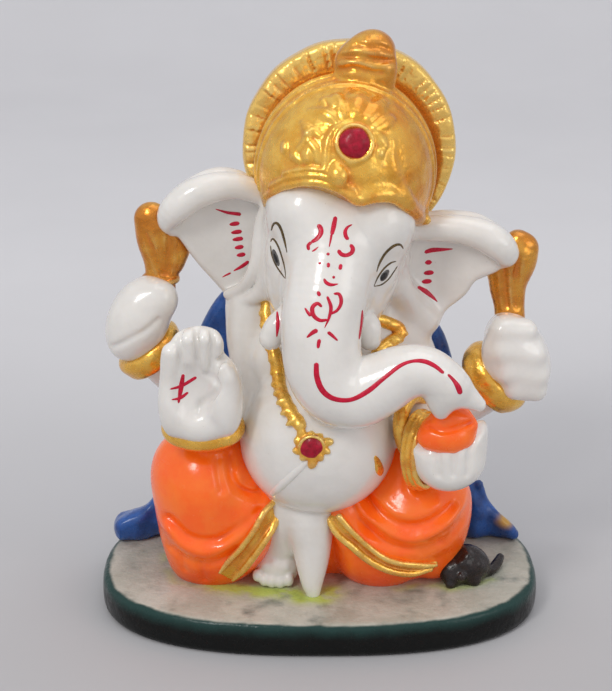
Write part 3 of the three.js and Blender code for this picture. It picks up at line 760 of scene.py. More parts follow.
def sculpt_raised_palm(clay):
    outline = [
        (-25.7, 44.5), (-25.6, 47.3), (-25.3, 50), (-24, 52), (-22.8, 53.6), (-20.9, 54.5), (-18.7, 54.7),
        (-16.6, 54), (-15.6, 52.4), (-15.3, 49.9), (-13.6, 47.9), (-12.6, 44.6), (-12.9, 40.5),
        (-14.2, 37.5), (-16.6, 35.8), (-19.8, 35.1), (-23, 36.2), (-24.8, 38.6), (-25.6, 41.6),
    ]

    def depth(x, z):
        out = ((x + 19.3) / 7.0) ** 2 + ((z - 43.5) / 10.0) ** 2
        return -13.6 - 1.3 * np.clip(out, 0, 1.3)

    def half(x, z):
        return 2.9 - 0.075 * np.clip(z - 38.0, 0, 17.0)

    # the plate, the ball of the thumb, the thumb, the palm's outer edge, the heel, then four fingers
    pile(clay, "palm_right_front", [
        (0.8, plate(outline, depth, half, (-21, -8))),
        (1, (-15.5, -15.6, 41.8), (2.9, 2.9, 5.6), (0, -4, 0)),
        (0.7, (-15.1, -15.8, 44, 2.2), (-15.1, -16.3, 46.4, 1.8), (-15.6, -16.6, 48, 1.3)),
        (1.4, (-23.4, -15, 41.6), (2.6, 2.4, 5.8), (0, 5, 0)),
        (1.2, (-19.4, -14.6, 38), (4.6, 2.6, 2.8)),
        (0.55, (-24.1, -15, 45, 1.5), (-23.8, -15.9, 50.6, 1.5)),
        (0.55, (-21.2, -15.2, 46.6, 1.5), (-21, -16.2, 52.8, 1.5)),
        (0.55, (-18.6, -15.2, 47.2, 1.45), (-18.5, -16.2, 52.9, 1.45)),
        (0.55, (-16.7, -15, 48.6, 1.1), (-16.6, -15.9, 52.2, 1.1)),
    ])
    grooves = (
        ((-22.1, 54.2), (-22.3, 51.8), (-22.4, 49.4), (-22.2, 47)),
        ((-19.6, 54.8), (-19.7, 52), (-19.6, 49.4), (-19.4, 47.4)),
        ((-17.2, 54), (-17.3, 51.4), (-17.5, 48.8), (-18, 46.6)),
    )
    for line in grooves:
        clay.cut(laid(clay, -16, -0.05, even(line, (0.4, 0.5, 0.45, 0.25))), 0.5)
    hollow = thrown(clay, [(-20.6, 44.0)], -16)[0]
    clay.cut(egg(hollow + (0, -1.6, 0), (3.2, 2.4, 4.6)), 1.2)
    clay.cut(laid(clay, -16, 0, [(-15.2, 50.4, 0.6), (-16.2, 49, 0.5), (-16.8, 47.2, 0.4)]), 0.6)
    crease = [(-18.4, 46.8, 0.4), (-16.9, 46, 0.5), (-16.6, 44.6, 0.55)]
    crease += [(-17.4, 43.2, 0.6), (-19.2, 42, 0.55), (-19.8, 40.2, 0.3)]
    clay.cut(laid(clay, -16, 0.05, crease), 0.7)
    clay.cut(limb([(-14.3, -19.0, 50.6, 0.8), (-14.3, -9.0, 50.6, 0.8)]), 0.5)


def sculpt_cupped_hand(clay):
    outline = [
        (14.2, 34.9), (14.6, 31.6), (16.4, 28.6), (18.9, 27.1), (22, 27), (24.8, 28.2), (26.6, 30.4),
        (27, 34), (26.9, 37.5), (25.2, 38.1), (21.7, 37.3), (17.2, 35.9),
    ]

    def depth(x, z):
        return -16.4 + 0.045 * (x - 20.6) ** 2 + 0.02 * (z - 32.5) ** 2

    pile(clay, "hand_left_front", [
        (0.6, plate(outline, depth, lambda x, z: 3.4 + 0 * x * z, (-22, -9))),
        (1.2, (19.6, -13.4, 32), (5.4, 4.6, 4.6)),
    ])
    for x, lean in ((18.6, 0.1), (21.2, 0.0), (23.7, -0.1)):
        line = [(x - lean, 37.4, 0.35), (x, 35.4, 0.34), (x + lean, 33.2, 0.3), (x + 2 * lean, 31.0, 0.2)]
        clay.cut(laid(clay, -19.5, 0.15, line), 0.9)


def sculpt_rear_arms(clay):
    pile(clay, "arm_right_rear", [
        (0.8, (-10.5, 2.5, 39.5, 4), (-16.5, 4, 37.4, 3.9), (-22.5, 4.4, 38, 3.9), (-26.6, 3.8, 41.5, 3.8),
         (-29.2, 2.4, 46, 3.8)),
    ])
    pile(clay, "fist_right_rear", [
        (0.8, (-30.2, -0.2, 50.9), (4.7, 5, 7.6), (0, 25, 0)),
        (1, (-26.3, -2.2, 55), (2.8, 2.7, 3)),
        (3, (-30.2, -2, 51.4), (4.2, 3.6, 6.4), (0, 25, 0)),
    ])
    crease = [(-34.6, 46.8, 0.1), (-31.6, 48.2, 0.15), (-28.8, 49.8, 0.15), (-26.8, 51.6, 0.1)]
    clay.cut(laid(clay, -3, 0, crease), 1.0)
    pile(clay, "arm_left_rear", [
        (0.8, (13, 2.5, 40, 4), (18.5, 3.8, 36, 4), (24, 4.2, 34, 3.8), (28.2, 3.4, 36.4, 3.7),
         (31, 1.4, 40, 3.8)),
    ])
    pile(clay, "fist_left_rear", [
        (0.8, (32.6, -0.8, 44.9), (4.9, 5, 7.6), (0, -21, 0)),
        (1.7, (30, -4, 50, 2.1), (34, -3.4, 49.8, 2.1 * 0.9)),
        (1.7, (30, -4.7, 46.6, 2.2), (35.2, -4, 45.8, 2.2 * 0.9)),
        (1.7, (30.9, -4.8, 43.1, 2.1), (36, -3.7, 42, 2.1 * 0.9)),
        (1.7, (32.4, -4.2, 39.9, 1.9), (36.2, -3.1, 39, 1.9 * 0.9)),
        (1.6, (29.2, -2.6, 42.6, 1.8), (28.8, -3.2, 46.6, 1.9), (30.4, -3, 50.4, 1.5)),
        (1.5, (35, -1, 44.6), (3.2, 3.8, 5.6), (0, -21, 0)),
    ])


def sculpt_feet(clay):
    pile(clay, "foot_left", [
        (0.6, (-2, -8.4, 22.4, 4.8), (-2, -9.8, 18.6, 4.3), (-1.5, -10.6, 15, 3.5),
         (-1.4, -11.4, 11.6, 2.8), (-1.4, -12.3, 8.2, 1.9), (-1.2, -12.8, 6.3, 1.2)),
    ])
    toes = ((-10.7, 8.1, 0.85), (-9.5, 7.4, 0.95), (-8.2, 7.1, 1), (-6.8, 7, 1), (-5.4, 7.3, 0.95))
    pile(clay, "foot_right", [
        (1.4, (-5.8, -8.2, 21, 3.8), (-6.1, -8, 17.6, 3.7), (-6.3, -7.2, 14.2, 3.5),
         (-7.2, -6.2, 9.6, 3.4)),
        (0.4, (-7.3, -7.6, 8.8), (3.9, 3, 3.7)),
        *((0.3, (x, -10, z), (size, size * 1.1, size * 1.35)) for x, z, size in toes),
        *((0.5, (x, -9.7, z), (0.9, 0.8, 1)) for x, z in ((-9.2, 9.6), (-7.6, 10.1), (-6, 9.7))),
    ])


def sculpt_body():
    """The belly, limbs, head and ears, all in one lump, so that they run into one another as cast."""
    clay, bare = (Clay((-37.5, -26.0, 4.6), (40.5, 13.5, 80.0), BODY_CELL) for _ in range(2))
    sculpt_trunk_of_body(clay)
    bare.field = clay.field.copy()
    sculpt_feet(clay)
    sculpt_rear_arms(clay)
    sculpt_front_arms(clay)
    sculpt_ears(clay)
    sculpt_trunk_and_face(clay)
    return clay, bare


def sculpt_thread(bare):
    """The thin cord modelled across the belly, in a fine lump of its own."""
    clay = Clay((-12.0, -22.0, 22.0), (2.0, -10.0, 36.0), 0.22)
    path = thrown(bare, [(-2.4, 32.0), (-4.0, 30.4), (-5.6, 28.8), (-7.0, 27.4), (-8.0, 26.5)], -17)
    path = path - bare.slope(path) * 0.6
    clay.add(limb(even(path, (0.75, 0.85, 0.9, 0.9, 0.8))), 0.3, "sacred_thread")
    return clay


# ---------------------------------------------------------------- the crown

HALO_AT, HALO_RADIUS = np.array((4.7, 6.9, 78.6)), 17.6
RIM_DROP, RIM_INNER = 2.2, 14.5  # the rim's inner circle sits lower, so the rim is widest at the top
CAP_MIDDLE, CAP_SIZE = (0.2, 0.6, 12.6), (14.2, 12.8, 14.9)  # the middle in the head's axes
GEM_AT = (5.05, 83.7)  # X and Z of the crown's gem


def halo_blocks():
    """Hand-cut blocks round the halo's rim, crisp on its right-hand side and worn soft on its left.
    For each one: the angle where it starts, its rise in millimetres, and its slant in millimetres to the
    radian."""
    dice = np.random.default_rng(11)
    start, blocks = math.radians(-40), []
    while start < math.radians(220):
        crisp = 0.3 + 0.7 / (1 + math.exp(-(math.degrees(start) - 75) / 12))
        blocks.append((start, dice.uniform(0.0, 0.4) * crisp, dice.uniform(-4.5, 4.5) * crisp))
        start += math.radians(dice.uniform(3.6, 10.5))
    return np.array(blocks).T


HALO_BLOCKS = halo_blocks()
RIM_RISE = spline([
    (-12.5, 0.0), (-9.2, 1.35), (-5.6, 1.85), (-2.6, 1.4), (0.6, 0.25),
    (2.3, -0.45), (4.2, 0.3), (7.3, 1.0), (9.7, 0.3), (12.2, -0.5),
], 5)  # fmt: skip


def rim_height(u, v):
    """Height of the crown's lower edge in the head's axes: a slanting plane with an arch over each brow."""
    front = np.clip((2.0 - v) / 6.0, 0, 1)
    return 6.1 - 0.5 * (v + 1.7) + front * np.interp(u, RIM_RISE[:, 0], RIM_RISE[:, 1])


def halo_disc():
    """The halo: a disc with a broad rim of hand-cut blocks."""

    def distance(x, y, z):
        dx, dz = x - HALO_AT[0], z - HALO_AT[2]
        out = np.sqrt(dx**2 + dz**2)
        around = np.arctan2(dz, dx)
        around = np.where(around < -2.3, around + 2 * np.pi, around)
        inner = np.sqrt(dx**2 + (dz + RIM_DROP) ** 2) - RIM_INNER
        rim = 1 / (1 + np.exp(-inner / 0.18))
        starts, rises, slants = HALO_BLOCKS
        block = np.clip(np.searchsorted(starts, around) - 1, 0, len(starts) - 1)
        into = around - starts[block]
        carved = rises[block] + slants[block] * (into - 0.06) - 0.35 * np.exp(-((into / 0.022) ** 2))
        width = np.maximum(inner + HALO_RADIUS - out, 0.5)
        over = np.clip(2 * inner / width - 1, -1.2, 1.2)  # -1 to 1 across the rim
        proud = 0.45 + 0.55 * (1 - over**4) + carved * np.clip(1.3 - np.abs(over), 0, 1)
        front = HALO_AT[1] - 1.0 - rim * proud
        back = HALO_AT[1] + 1.5 + 0.35 * rim
        edge = out - HALO_RADIUS - 0.06 * np.cos(around * 13 + 1)
        return rounded(np.abs(y - (front + back) / 2) - (back - front) / 2, edge, 0.7) * 0.9

    reach = np.array((HALO_RADIUS + 0.3, 3.2, HALO_RADIUS + 0.3))
    return Shape(HALO_AT - reach, HALO_AT + reach, distance)


def along_rim(first, last, lift, radius, wave=0.0):
    """Stations on the cap's skin that run lift millimetres above its rim, between two head-axis U values.
    wave is the share by which their radius comes and goes."""
    stations = []
    for k, u in enumerate(np.linspace(first, last, 14)):
        v = -9.0
        for _ in range(12):  # settle on the cap's skin at this height
            w = rim_height(u, v) + lift
            share = 1 - ((u - CAP_MIDDLE[0]) / CAP_SIZE[0]) ** 2 - ((w - CAP_MIDDLE[2]) / CAP_SIZE[2]) ** 2
            v = CAP_MIDDLE[1] - CAP_SIZE[1] * math.sqrt(max(share, 0.02))
        stations.append((*on_head(u, v, w), radius * (1 + wave * math.sin(2.4 * k))))
    return stations


def cap_ring(grow, y, radius):
    """An arch of the doubled edge round the back of the cap."""
    share = math.sqrt(max(1 - ((y + 1.9) / CAP_SIZE[1]) ** 2, 0.1))
    stations = []
    for angle in np.radians(np.linspace(-14, 194, 22)):
        u, w = (CAP_SIZE[0] * share + grow) * math.cos(angle), (CAP_SIZE[2] * share + grow) * math.sin(angle)
        x, _, z = on_head(CAP_MIDDLE[0] + u, 0, CAP_MIDDLE[2] + w)
        stations.append((x, y, z, radius))
    return limb(stations)


def sculpt_cap_reliefs(clay):
    pile(clay, "crown_band", [
        (0.15, *along_rim(-12.0, 1.8, 0.6, 0.66, 0.1)),
        (0.15, *along_rim(-11.4, 1.0, 1.7, 0.6, 0.1)),
        (0.15, *along_rim(-9.6, -0.8, 2.7, 0.5, 0.1)),
        (1.6, *along_rim(1.6, 14.0, 0.8, 0.8)),
        (0.6, (16.4, -1.6, 76.6, 0.45), (16.6, -2.4, 73, 0.5), (16.9, -2.6, 70, 0.6)),
    ])
    rings = ((-0.05, -4.6, 0.42), (0.1, -1.4, 0.5), (0.4, 2.0, 0.7))
    pile(clay, "crown_cap", [(0.5, cap_ring(*ring)) for ring in rings])
    # petals round the gem, then the leaves, curl and boss to its right-hand side: (sink, stations...)
    reliefs = (
        (0.7, (5.3, 88.4, 1.9), (5.6, 90, 2.6), (5.9, 91.4, 1.8)),
        (0.62, (7.2, 87.6, 1.4), (8.4, 89, 1.9), (9.2, 90, 1.4)),
        (0.55, (8.3, 86, 1), (9.6, 86.8, 1.4), (10.6, 87.4, 1)),
        (0.45, (8.5, 84.8, 0.8), (9.2, 84, 1), (9.7, 83.1, 0.7)),
        (0.3, (9.1, 82.3, 0.6), (9.1, 81.9, 0.6)),
        (0.58, (3.3, 87.9, 1), (2.8, 89.4, 1.6), (2.3, 90.7, 1.2)),
        (0.55, (2.1, 87.2, 0.7), (1.2, 88, 1.4), (0, 88.4, 1.3), (-1.8, 88.7, 0.5)),
        (0.3, (1.7, 89.5, 0.45), (1, 90.4, 0.5), (0.2, 90.2, 0.5), (0.5, 89.5, 0.35)),
        (0.4, (-2.9, 86.8, 0.5), (-2.2, 85.6, 1), (-2.4, 84, 0.8), (-4.5, 81.6, 0.4)),
        (0.4, (-2.2, 85.2, 0.5), (-1.2, 85.6, 0.6), (-0.4, 84.8, 0.3)),
        (0.4, (-1.9, 83.9, 0.5), (-1, 82.6, 0.75), (-0.7, 80.9, 0.5)),
        (0.45, (-2.1, 82.8, 0.5), (-2.2, 81.6, 1.1), (-2, 80.8, 0.7)),
        (0.4, (-4.6, 82.4, 0.4), (-4, 81.4, 0.6), (-3.3, 80.8, 0.4)),
        (0.3, (-5.7, 83.3, 0.7), (-5.7, 82.8, 0.7)),
        (0.35, (4.6, 87, 0.3), (2.6, 86.3, 0.5), (1.2, 84.7, 0.6), (0.7, 82.5, 0.6), (0.6, 79.8, 0.5)),
        (0.4, (3.6, 81.2, 0.4), (4.4, 80.5, 0.6), (5.4, 80.6, 0.3)),
        (0.5, (2.2, 79.6, 1.3), (2.7, 78.6, 1.7), (2.9, 77.8, 1)),
        (0.75, (11, 84, 0.5), (11, 80.7, 1.2), (12.2, 77.2, 1.4), (14.4, 74, 1.2), (16, 71.4, 0.8)),
    )
    for sink, *stations in reliefs:
        clay.add(laid(clay, -12.5, sink, stations), 0.4, "crown_cap")


def sculpt_finial(clay):
    pile(clay, "crown_finial", [
        (1.4, (7, 0.4, 92.4), (4.7, 4.2, 3.4), (0, 6, 0)),
        (1.6, (8.1, 0.4, 95.4), (3.7, 3.6, 3.5)),
        (2, (5.2, -0.2, 94.3), (3, 3, 2.6), (0, -35, 0)),
        (1.4, (10.3, -1.2, 92.4), (1.6, 1.9, 2.8)),
    ])
    wraps = (
        (0.25, (5.4, 97.2), (7.4, 96.8), (9.2, 96.8), (10.8, 96.2)),
        (0.38, (2.8, 95.2), (5.6, 95.2), (8.4, 94.6), (11.4, 94.6)),
        (0.34, (2.8, 93.2), (5.4, 93.4), (8, 92.6), (9.6, 92.6)),
    )
    for radius, *line in wraps:
        clay.cut(laid(clay, -3, 0.1, even(line, (radius * 0.5, radius, radius, radius * 0.5))), 0.9)


def sculpt_crown():
    clay = Clay((-14.5, -19.0, 66.0), (24.0, 13.5, 101.5))
    clay.add(egg(on_head(*CAP_MIDDLE), CAP_SIZE, (0, HEAD_TILT, 0)), 0, "crown_cap")
    part, x, y, z = clay.window(clay.low, clay.low + clay.cell * np.array(clay.field.shape), 0)
    u, v, w = in_head_axes(x, y, z)
    clay.field = np.maximum(clay.field, (rim_height(u, v) - w) * 0.85).astype(np.float32)
    sculpt_cap_reliefs(clay)
    clay.add(halo_disc(), 0.5, "crown_halo")
    sculpt_finial(clay)
    gem = thrown(clay, [GEM_AT], -13.0)[0]
    pile(clay, "gem_bezel", [
        (0.3, band(gem + (0, 0.15, 0), (0.08, -1, 0.42), (2.75, 2.75), 0.42)),
        (0.4, gem + (0, 0.9, -0.2), (2.9, 1, 2.9), (-22, 0, 0)),
    ])
    return clay, gem


def cut_stone(at, radius, lean):
    """A roughly cut stone that looks forward and leans back, its table between two courses of facets."""
    dice = np.random.default_rng(4)
    planes = [((0, -1, lean), radius * 0.5), ((0, 1, -lean), radius * 0.5)]
    for angle in np.arange(0, 2 * math.pi, math.pi / 4):
        turn = angle + dice.uniform(-0.15, 0.15)
        across, up = math.cos(turn), math.sin(turn)
        planes.append(((across, 0.1, up), radius * dice.uniform(0.88, 1.0)))
        planes.append(((across, -1.2, up + lean), radius * dice.uniform(0.66, 0.76)))
    planes = [(np.array(Vector(way).normalized()), far) for way, far in planes]

    def distance(x, y, z):
        dx, dy, dz = x - at[0], y - at[1], z - at[2]
        steps = [way[0] * dx + way[1] * dy + way[2] * dz - far for way, far in planes]
        return np.log(sum(np.exp(7 * np.clip(step, -9, 6)) for step in steps)) / 7

    return Shape(at - radius * 1.2, at + radius * 1.2, distance)


# ---------------------------------------------------------------- gold pieces held or worn


def band(at, axis, radii, bar, across=None, wave=0.0):
    """A closed bar round an oval: axis is its normal, across the direction of its first radius. wave is the
    share by which the bar's radius comes and goes."""
    count = 24 if across else 20
    axis = Vector(axis).normalized()
    across = Vector(across) if across else axis.orthogonal()
    across = (across - axis * across.dot(axis)).normalized()
    up = axis.cross(across)
    stations = []
    for k, angle in enumerate(np.linspace(0, 2 * math.pi, count + 1)):
        spot = Vector(at) + across * radii[0] * math.cos(angle) + up * radii[1] * math.sin(angle)
        stations.append((*spot, bar + wave * math.sin(2.4 * k)))
    return limb(stations)


def sculpt_cuffs():
    """The bands at the four wrists, each in its own lump: (form, low, high, rows)."""
    right, left, bangle = (-0.60, -0.12, 0.79), (0.72, -0.2, 0.66), np.array((0.80, -0.60, 0.05))
    wrist = np.array((16.8, -12.6, 32.3))
    along_right, along_left, up = (0.79, 0, 0.6), (-0.66, 0, 0.72), (0, 0, 1)
    strands = ((-0.8, 6.5, 0.5), (0.1, 6.3, 0.55), (1.1, 5.9, 0.5))
    cuffs = (
        ("cuff_right_rear", (-36.5, -7.5, 36.0), (-20.5, 11.0, 52.5), [
            (0.3, band((-29.0, 1.4, 45.2), right, (4.6, 4.6), 1.45, along_right)),
            (0.8, band((-28.1, 1.6, 44.0), right, (4.3, 4.4), 1.35, along_right)),
            (0.6, (-28.6, 1.6, 44.6), (4.4, 4.4, 2.2), (0, -37, 0)),
        ]),
        ("cuff_left_rear", (21.5, -8.0, 30.0), (38.5, 11.0, 49.5), [
            (0.3, band((30.0, 0.9, 40.4), left, (5.3, 4.8), 1.5, along_left)),
            (0.9, band((29.0, 1.1, 39.5), left, (5.2, 4.7), 1.4, along_left)),
            (0.6, (29.4, 1.2, 39.8), (4.8, 4.6, 2.4), (0, 47, 0)),
            (0.25, band((28.28, 1.2, 38.74), left, (5.3, 4.9), 0.75, along_left)),
        ]),
        ("cuff_right_front", (-28.5, -20.5, 29.5), (-10.5, -3.0, 41.5), [
            (0.3, band((-19.2, -11.6, 36.0), (0, -0.30, 0.95), (5.0, 3.2), 1.9, (1, 0, 0))),
            (0.8, (-19.2, -11.8, 36.1), (5, 3.8, 2), (17, 0, 0)),
        ]),
        ("bangle_left_front", (8.0, -20.5, 23.0), (24.0, -1.0, 43.5), [
            *((0.3, band(wrist + bangle * shift, bangle, (tall, 4.7), bar * 1.05, up, bar * 0.08))
              for shift, tall, bar in strands),
            (0.8, band((15.9, -9.4, 35.4), (0.75, -0.62, 0.2), (5.0, 4.4), 1.3, up)),
        ]),
    )  # fmt: skip
    for form, low, high, rows in cuffs:
        clay = Clay(low, high)
        pile(clay, form, rows)
        yield clay


def sculpt_held():
    """The lotus-bud tools in the two raised rear hands."""
    deep = ((0, 1, 0), 0.75)  # flatter from front to back
    clay = Clay((-33.5, -5.5, 53.0), (-18.5, 7.5, 73.5))
    stalk = [(-26.4, 0.4, 54, 2.4), (-26.5, 1, 57.4, 2.5), (-26.2, 1.3, 60.6, 3.1), (-26.8, 1.5, 64.4, 3.6)]
    pile(clay, "axe_right", [
        (0.6, limb([*stalk, (-27.8, 1.4, 67.6, 2.9)], deep)),
        (1, (-24.6, 2, 60.4, 2.2), (-23.8, 2.4, 62.6, 2.2), (-25, 2.2, 65.6, 2.4)),
        (0.4, band((-26.5, 0.8, 57.6), (0.05, 0, 1), (2.7, 2.7), 0.5)),
    ])
    for top, middle, foot in ((-28.6, -27.5, -26.3), (-26.4, -26.1, -25.9), (-24.7, -24.8, -25.2)):
        clay.cut(laid(clay, -1, 0, [(top, 65.6, 0.3), (middle, 62.4, 0.55), (foot, 58.8, 0.4)]), 0.8)
    yield clay

    clay = Clay((24.5, -5.5, 46.5), (39.5, 7.5, 68.5))
    stalk = [(31.8, 0.4, 49.5, 2.5), (31.5, 0.9, 53.2, 2.6), (31.2, 1.2, 56.8, 3.2), (32.0, 1.4, 60.4, 3.8)]
    pile(clay, "goad_left", [
        (0.6, limb([*stalk, (33.2, 1.4, 62.5, 2.9)], deep)),
        (1, (29.8, 1.6, 58.6, 1.9), (30.4, 1.8, 61.6, 2), (32.4, 1.6, 64, 1.6)),
    ])
    for line in ([(30.2, 59.4), (30.5, 56.4), (30.9, 53.4)], [(32.6, 61.8), (32.2, 57.6), (32.6, 53.4)]):
        clay.cut(laid(clay, -1, 0, even(line, (0.3, 0.5, 0.4))), 0.8)
    yield clay


def sculpt_necklaces(bare):
    """The two beaded necklace strips and the flower pendant, laid on the bare chest and belly."""
    clay = Clay((-13.5, -23.5, 31.0), (16.5, -2.0, 61.5))
    strips = {
        "necklace_right": (
            (-8.5, 58.1), (-8.6, 54.9), (-8.1, 51.3), (-7.3, 48.4), (-6.9, 45.9),
            (-6.6, 43.3), (-5.7, 40.6), (-4.5, 38.2), (-3.4, 36.6),
        ),
        "necklace_left": (
            (8.6, 54.9), (10.6, 54.2), (12.4, 53.3), (12.4, 52.0), (10.8, 50.7),
            (9.2, 49.2), (8.0, 46.0), (5.2, 42.0), (2.2, 39.4), (0.2, 38.0),
        ),
    }  # fmt: skip
    for form, points in strips.items():
        path = thrown(bare, points, -12)
        outward = bare.slope(path)
        clay.add(limb(even(path + outward * 0.05, 1.1)), 0.3, form)
        dense = spline(path + outward * 0.55, 6)
        along = lengths(dense)
        for k, step in enumerate(np.arange(0.3, along[-1], 1.05)):  # leaves to either side by turns
            spot = np.array([np.interp(step, along, dense[:, i]) for i in range(3)])
            side, spread = (1 if k % 2 else -1), 1 + 0.7 * (step / along[-1]) ** 4
            pile(clay, form, [
                (0.25, spot + (0.55 * side * spread, 0.1, 0), (0.72 * spread, 0.5, 0.5), (0, 35 * side, 0)),
                (0.25, spot + (-0.4 * side, 0, -0.5), (0.55, 0.45, 0.5)),
            ])
    gem = thrown(bare, [(-1.45, 36.1)], -20)[0]
    clay.add(egg(gem, (2.2, 0.8, 2.2), (-12, 0, 0)), 0.3, "pendant")
    petals = (
        (96, 2.0, 0.9), (128, 2.6, 1.2), (158, 2.3, 1.0), (196, 2.4, 0.9), (234, 2.2, 0.8), (272, 2.8, 1.1),
        (308, 2.2, 0.8), (345, 2.4, 0.8), (20, 2.7, 1.0), (58, 2.1, 0.8),
    )  # fmt: skip
    for degrees, reach, size in petals:
        way = np.array((math.cos(math.radians(degrees)), 0, math.sin(math.radians(degrees))))
        x, _, z = gem + way * reach
        spot = thrown(bare, [(x, z)], gem[1])[0]
        clay.add(egg(spot, (size, 0.6, size * 0.72), (0, 25 - degrees, 0)), 0.35, "pendant")
    clay.add(band(gem + (0, -0.35, 0.1), (0, -1, -0.1), (1.95, 1.95), 0.3), 0.25, "pendant")
    return clay, gem


# ---------------------------------------------------------------- cloth, modak, mouse and plinth


def sculpt_dhoti():
    clay = Clay((-31.0, -21.5, 5.0), (28.0, 15.5, 36.0), BODY_CELL)
    pile(clay, "dhoti_seat", [
        (0.5, (-1, 2, 15), (21, 10.4, 12.5)),
    ])
    pile(clay, "dhoti_leg_right", [
        (1.5, (-6, 4, 18, 8.5), (-13, 0, 20.5, 8.8), (-18.6, -4.5, 23.6, 8.6)),
        (2, (-19.2, -5.6, 24.2), (8.6, 8.4, 8.4)),
        (2.5, (-20.2, -4.6, 27.2), (7.3, 6.6, 5.4)),
        (3, (-22.8, -4.2, 24, 4.8), (-22.6, -4.6, 16, 4.6), (-21.6, -3.8, 9.8, 4.3)),
        (2, (-19.2, -5.6, 23, 8.4), (-19.2, -5.4, 17, 8.2), (-19.4, -4.2, 11.5, 7.2),
         (-19.6, -2.8, 8.4, 6.2)),
        (2.5, (-11.3, -9.2, 20.6, 4.1), (-12.2, -8.8, 15.5, 4.3), (-14.8, -7, 11, 4.6),
         (-18, -4.8, 8.6, 4.2)),
    ])
    pile(clay, "dhoti_leg_left", [
        (1.5, (6, 4, 17, 8.5), (12, 0, 19, 8.8), (15.6, -4.5, 19.6, 8.6)),
        (2, (15.8, -5.8, 19.4), (9.2, 8.6, 7.6)),
        (2.5, (13.6, -3.4, 24.6), (5, 6.2, 6.6)),
        (2, (16.4, -5.8, 17.5, 8), (13.4, -5.6, 14, 7.5), (11.2, -5.2, 11.4, 6)),
        (2, (10.2, -4.9, 9.2), (7.2, 6.4, 5.2)),
        (3, (19.6, -4.6, 20, 5.3), (19.9, -4.6, 14, 5), (19, -4.6, 10.4, 4.6)),
        (2, (16.8, -6.8, 12.2, 3.2), (19.4, -6.6, 10.8, 2.8), (19.9, -6.6, 8.8, 2.3)),
        (2, (6, -7, 11.6), (2.8, 4.8, 4.4)),
        (2.5, (4.9, -10.6, 20.6, 3.4), (6, -9.8, 16, 3.6), (9.8, -8.6, 12.2, 3.5)),
    ])
    # ridges (+) and grooves (-) of cloth: (half-width, height, points...)
    folds = (
        (0.9, -0.85, (-25, 19.4), (-21.8, 16.8), (-18.2, 16.3), (-15.2, 17.2), (-10.2, 21.4)),
        (1.2, 0.8, (-25.6, 17.4), (-22.6, 14.8), (-19, 13.9), (-15.8, 15.4), (-11.6, 19.9)),
        (0.9, -0.5, (-25, 13.2), (-21, 11.4), (-17.2, 12), (-14, 14.4)),
        (0.7, -0.55, (-17, 30), (-16.6, 27.4), (-16.2, 25.6)),
        (0.8, -0.8, (-15.2, 30), (-14.6, 26.8), (-12.6, 24.6), (-10, 23.4)),
        (0.7, 0.5, (-13.6, 28), (-12.8, 26), (-11.2, 25)),
        (0.6, -0.5, (-20.2, 12), (-20, 9.6), (-19.6, 7.4)),
        (0.6, -0.4, (-23.4, 11.6), (-23, 9.2)),
        (0.8, -0.7, (5.4, 22.6), (7.2, 18.8), (10.6, 15.8), (15.2, 14.8), (19.8, 15.8)),
        (0.9, 0.8, (6.2, 23.2), (8, 20.6), (11.4, 18), (15.4, 17.2), (20.4, 19.2), (23.6, 21.8)),
        (0.8, -0.65, (7.4, 23.2), (9.4, 21.2), (13, 19.6), (17.2, 19.8), (21.6, 21.8)),
        (0.9, 0.45, (9.6, 23.4), (12.4, 21.6), (16.2, 21.6), (19.6, 22.8)),
        (0.7, 0.45, (15.2, 27.6), (14.4, 25.6), (15.4, 24.2)),
        (0.9, -0.4, (17, 14), (20.4, 15.6), (23.2, 18.4)),
    )
    part, x, y, z = clay.window(np.array((-31.0, -21.5, 5.0)), np.array((28.0, -2.0, 36.0)), 0)
    total = 0.0
    for width, height, *points in folds:
        total = total + height * np.exp(-off_line(spline(points, 6), x, z) / width**2)
    clay.field[part] -= (total * (1 / (1 + np.exp((y + 6.0) / 1.2)))).astype(np.float32)
    return clay


def sculpt_hems(dhoti):
    """Gold borders: two raised cords with a paler channel between them."""
    clay = Clay((-20.0, -22.5, 5.2), (22.0, -8.0, 26.5))
    borders = {
        "dhoti_hem_right": (
            ((-8, 22.8), (-9.2, 21.3), (-10.4, 19.3), (-11.6, 17.2), (-13.3, 14.4), (-15.1, 12.2),
             (-16.9, 10)),
            ((-6.5, 22.3), (-7.5, 20.4), (-8.2, 18.4), (-9.4, 16.1), (-11, 13.5), (-12.9, 10.8),
             (-14.8, 8.7)),
        ),
        "dhoti_hem_left": (
            ((3.4, 20.2), (5.2, 17.7), (8.2, 14.5), (11.3, 12.4), (14.1, 11.7), (17.4, 11.4), (19.4, 11.4)),
            ((1.9, 19.7), (3.1, 17.2), (5.4, 14.8), (7.8, 12.5), (11.1, 10.6), (14.9, 9.9), (18.6, 10.6)),
        ),
    }
    for form, lines in borders.items():
        edges = [thrown(dhoti, line, -12) for line in lines]
        normals = [dhoti.slope(edge) for edge in edges]
        for edge, normal, radius in zip(edges, normals, (0.56, 0.64)):
            cord = np.full(len(edge), radius)
            cord[-1] *= 0.5
            clay.add(limb(even(edge + normal * 0.5, cord)), 0.2, form)
        for share in (0.2, 0.5, 0.8):
            middle = edges[0] * (1 - share) + edges[1] * share
            clay.add(limb(even(middle - normals[0] * 0.72, 0.95)), 0.35, form)
    return clay


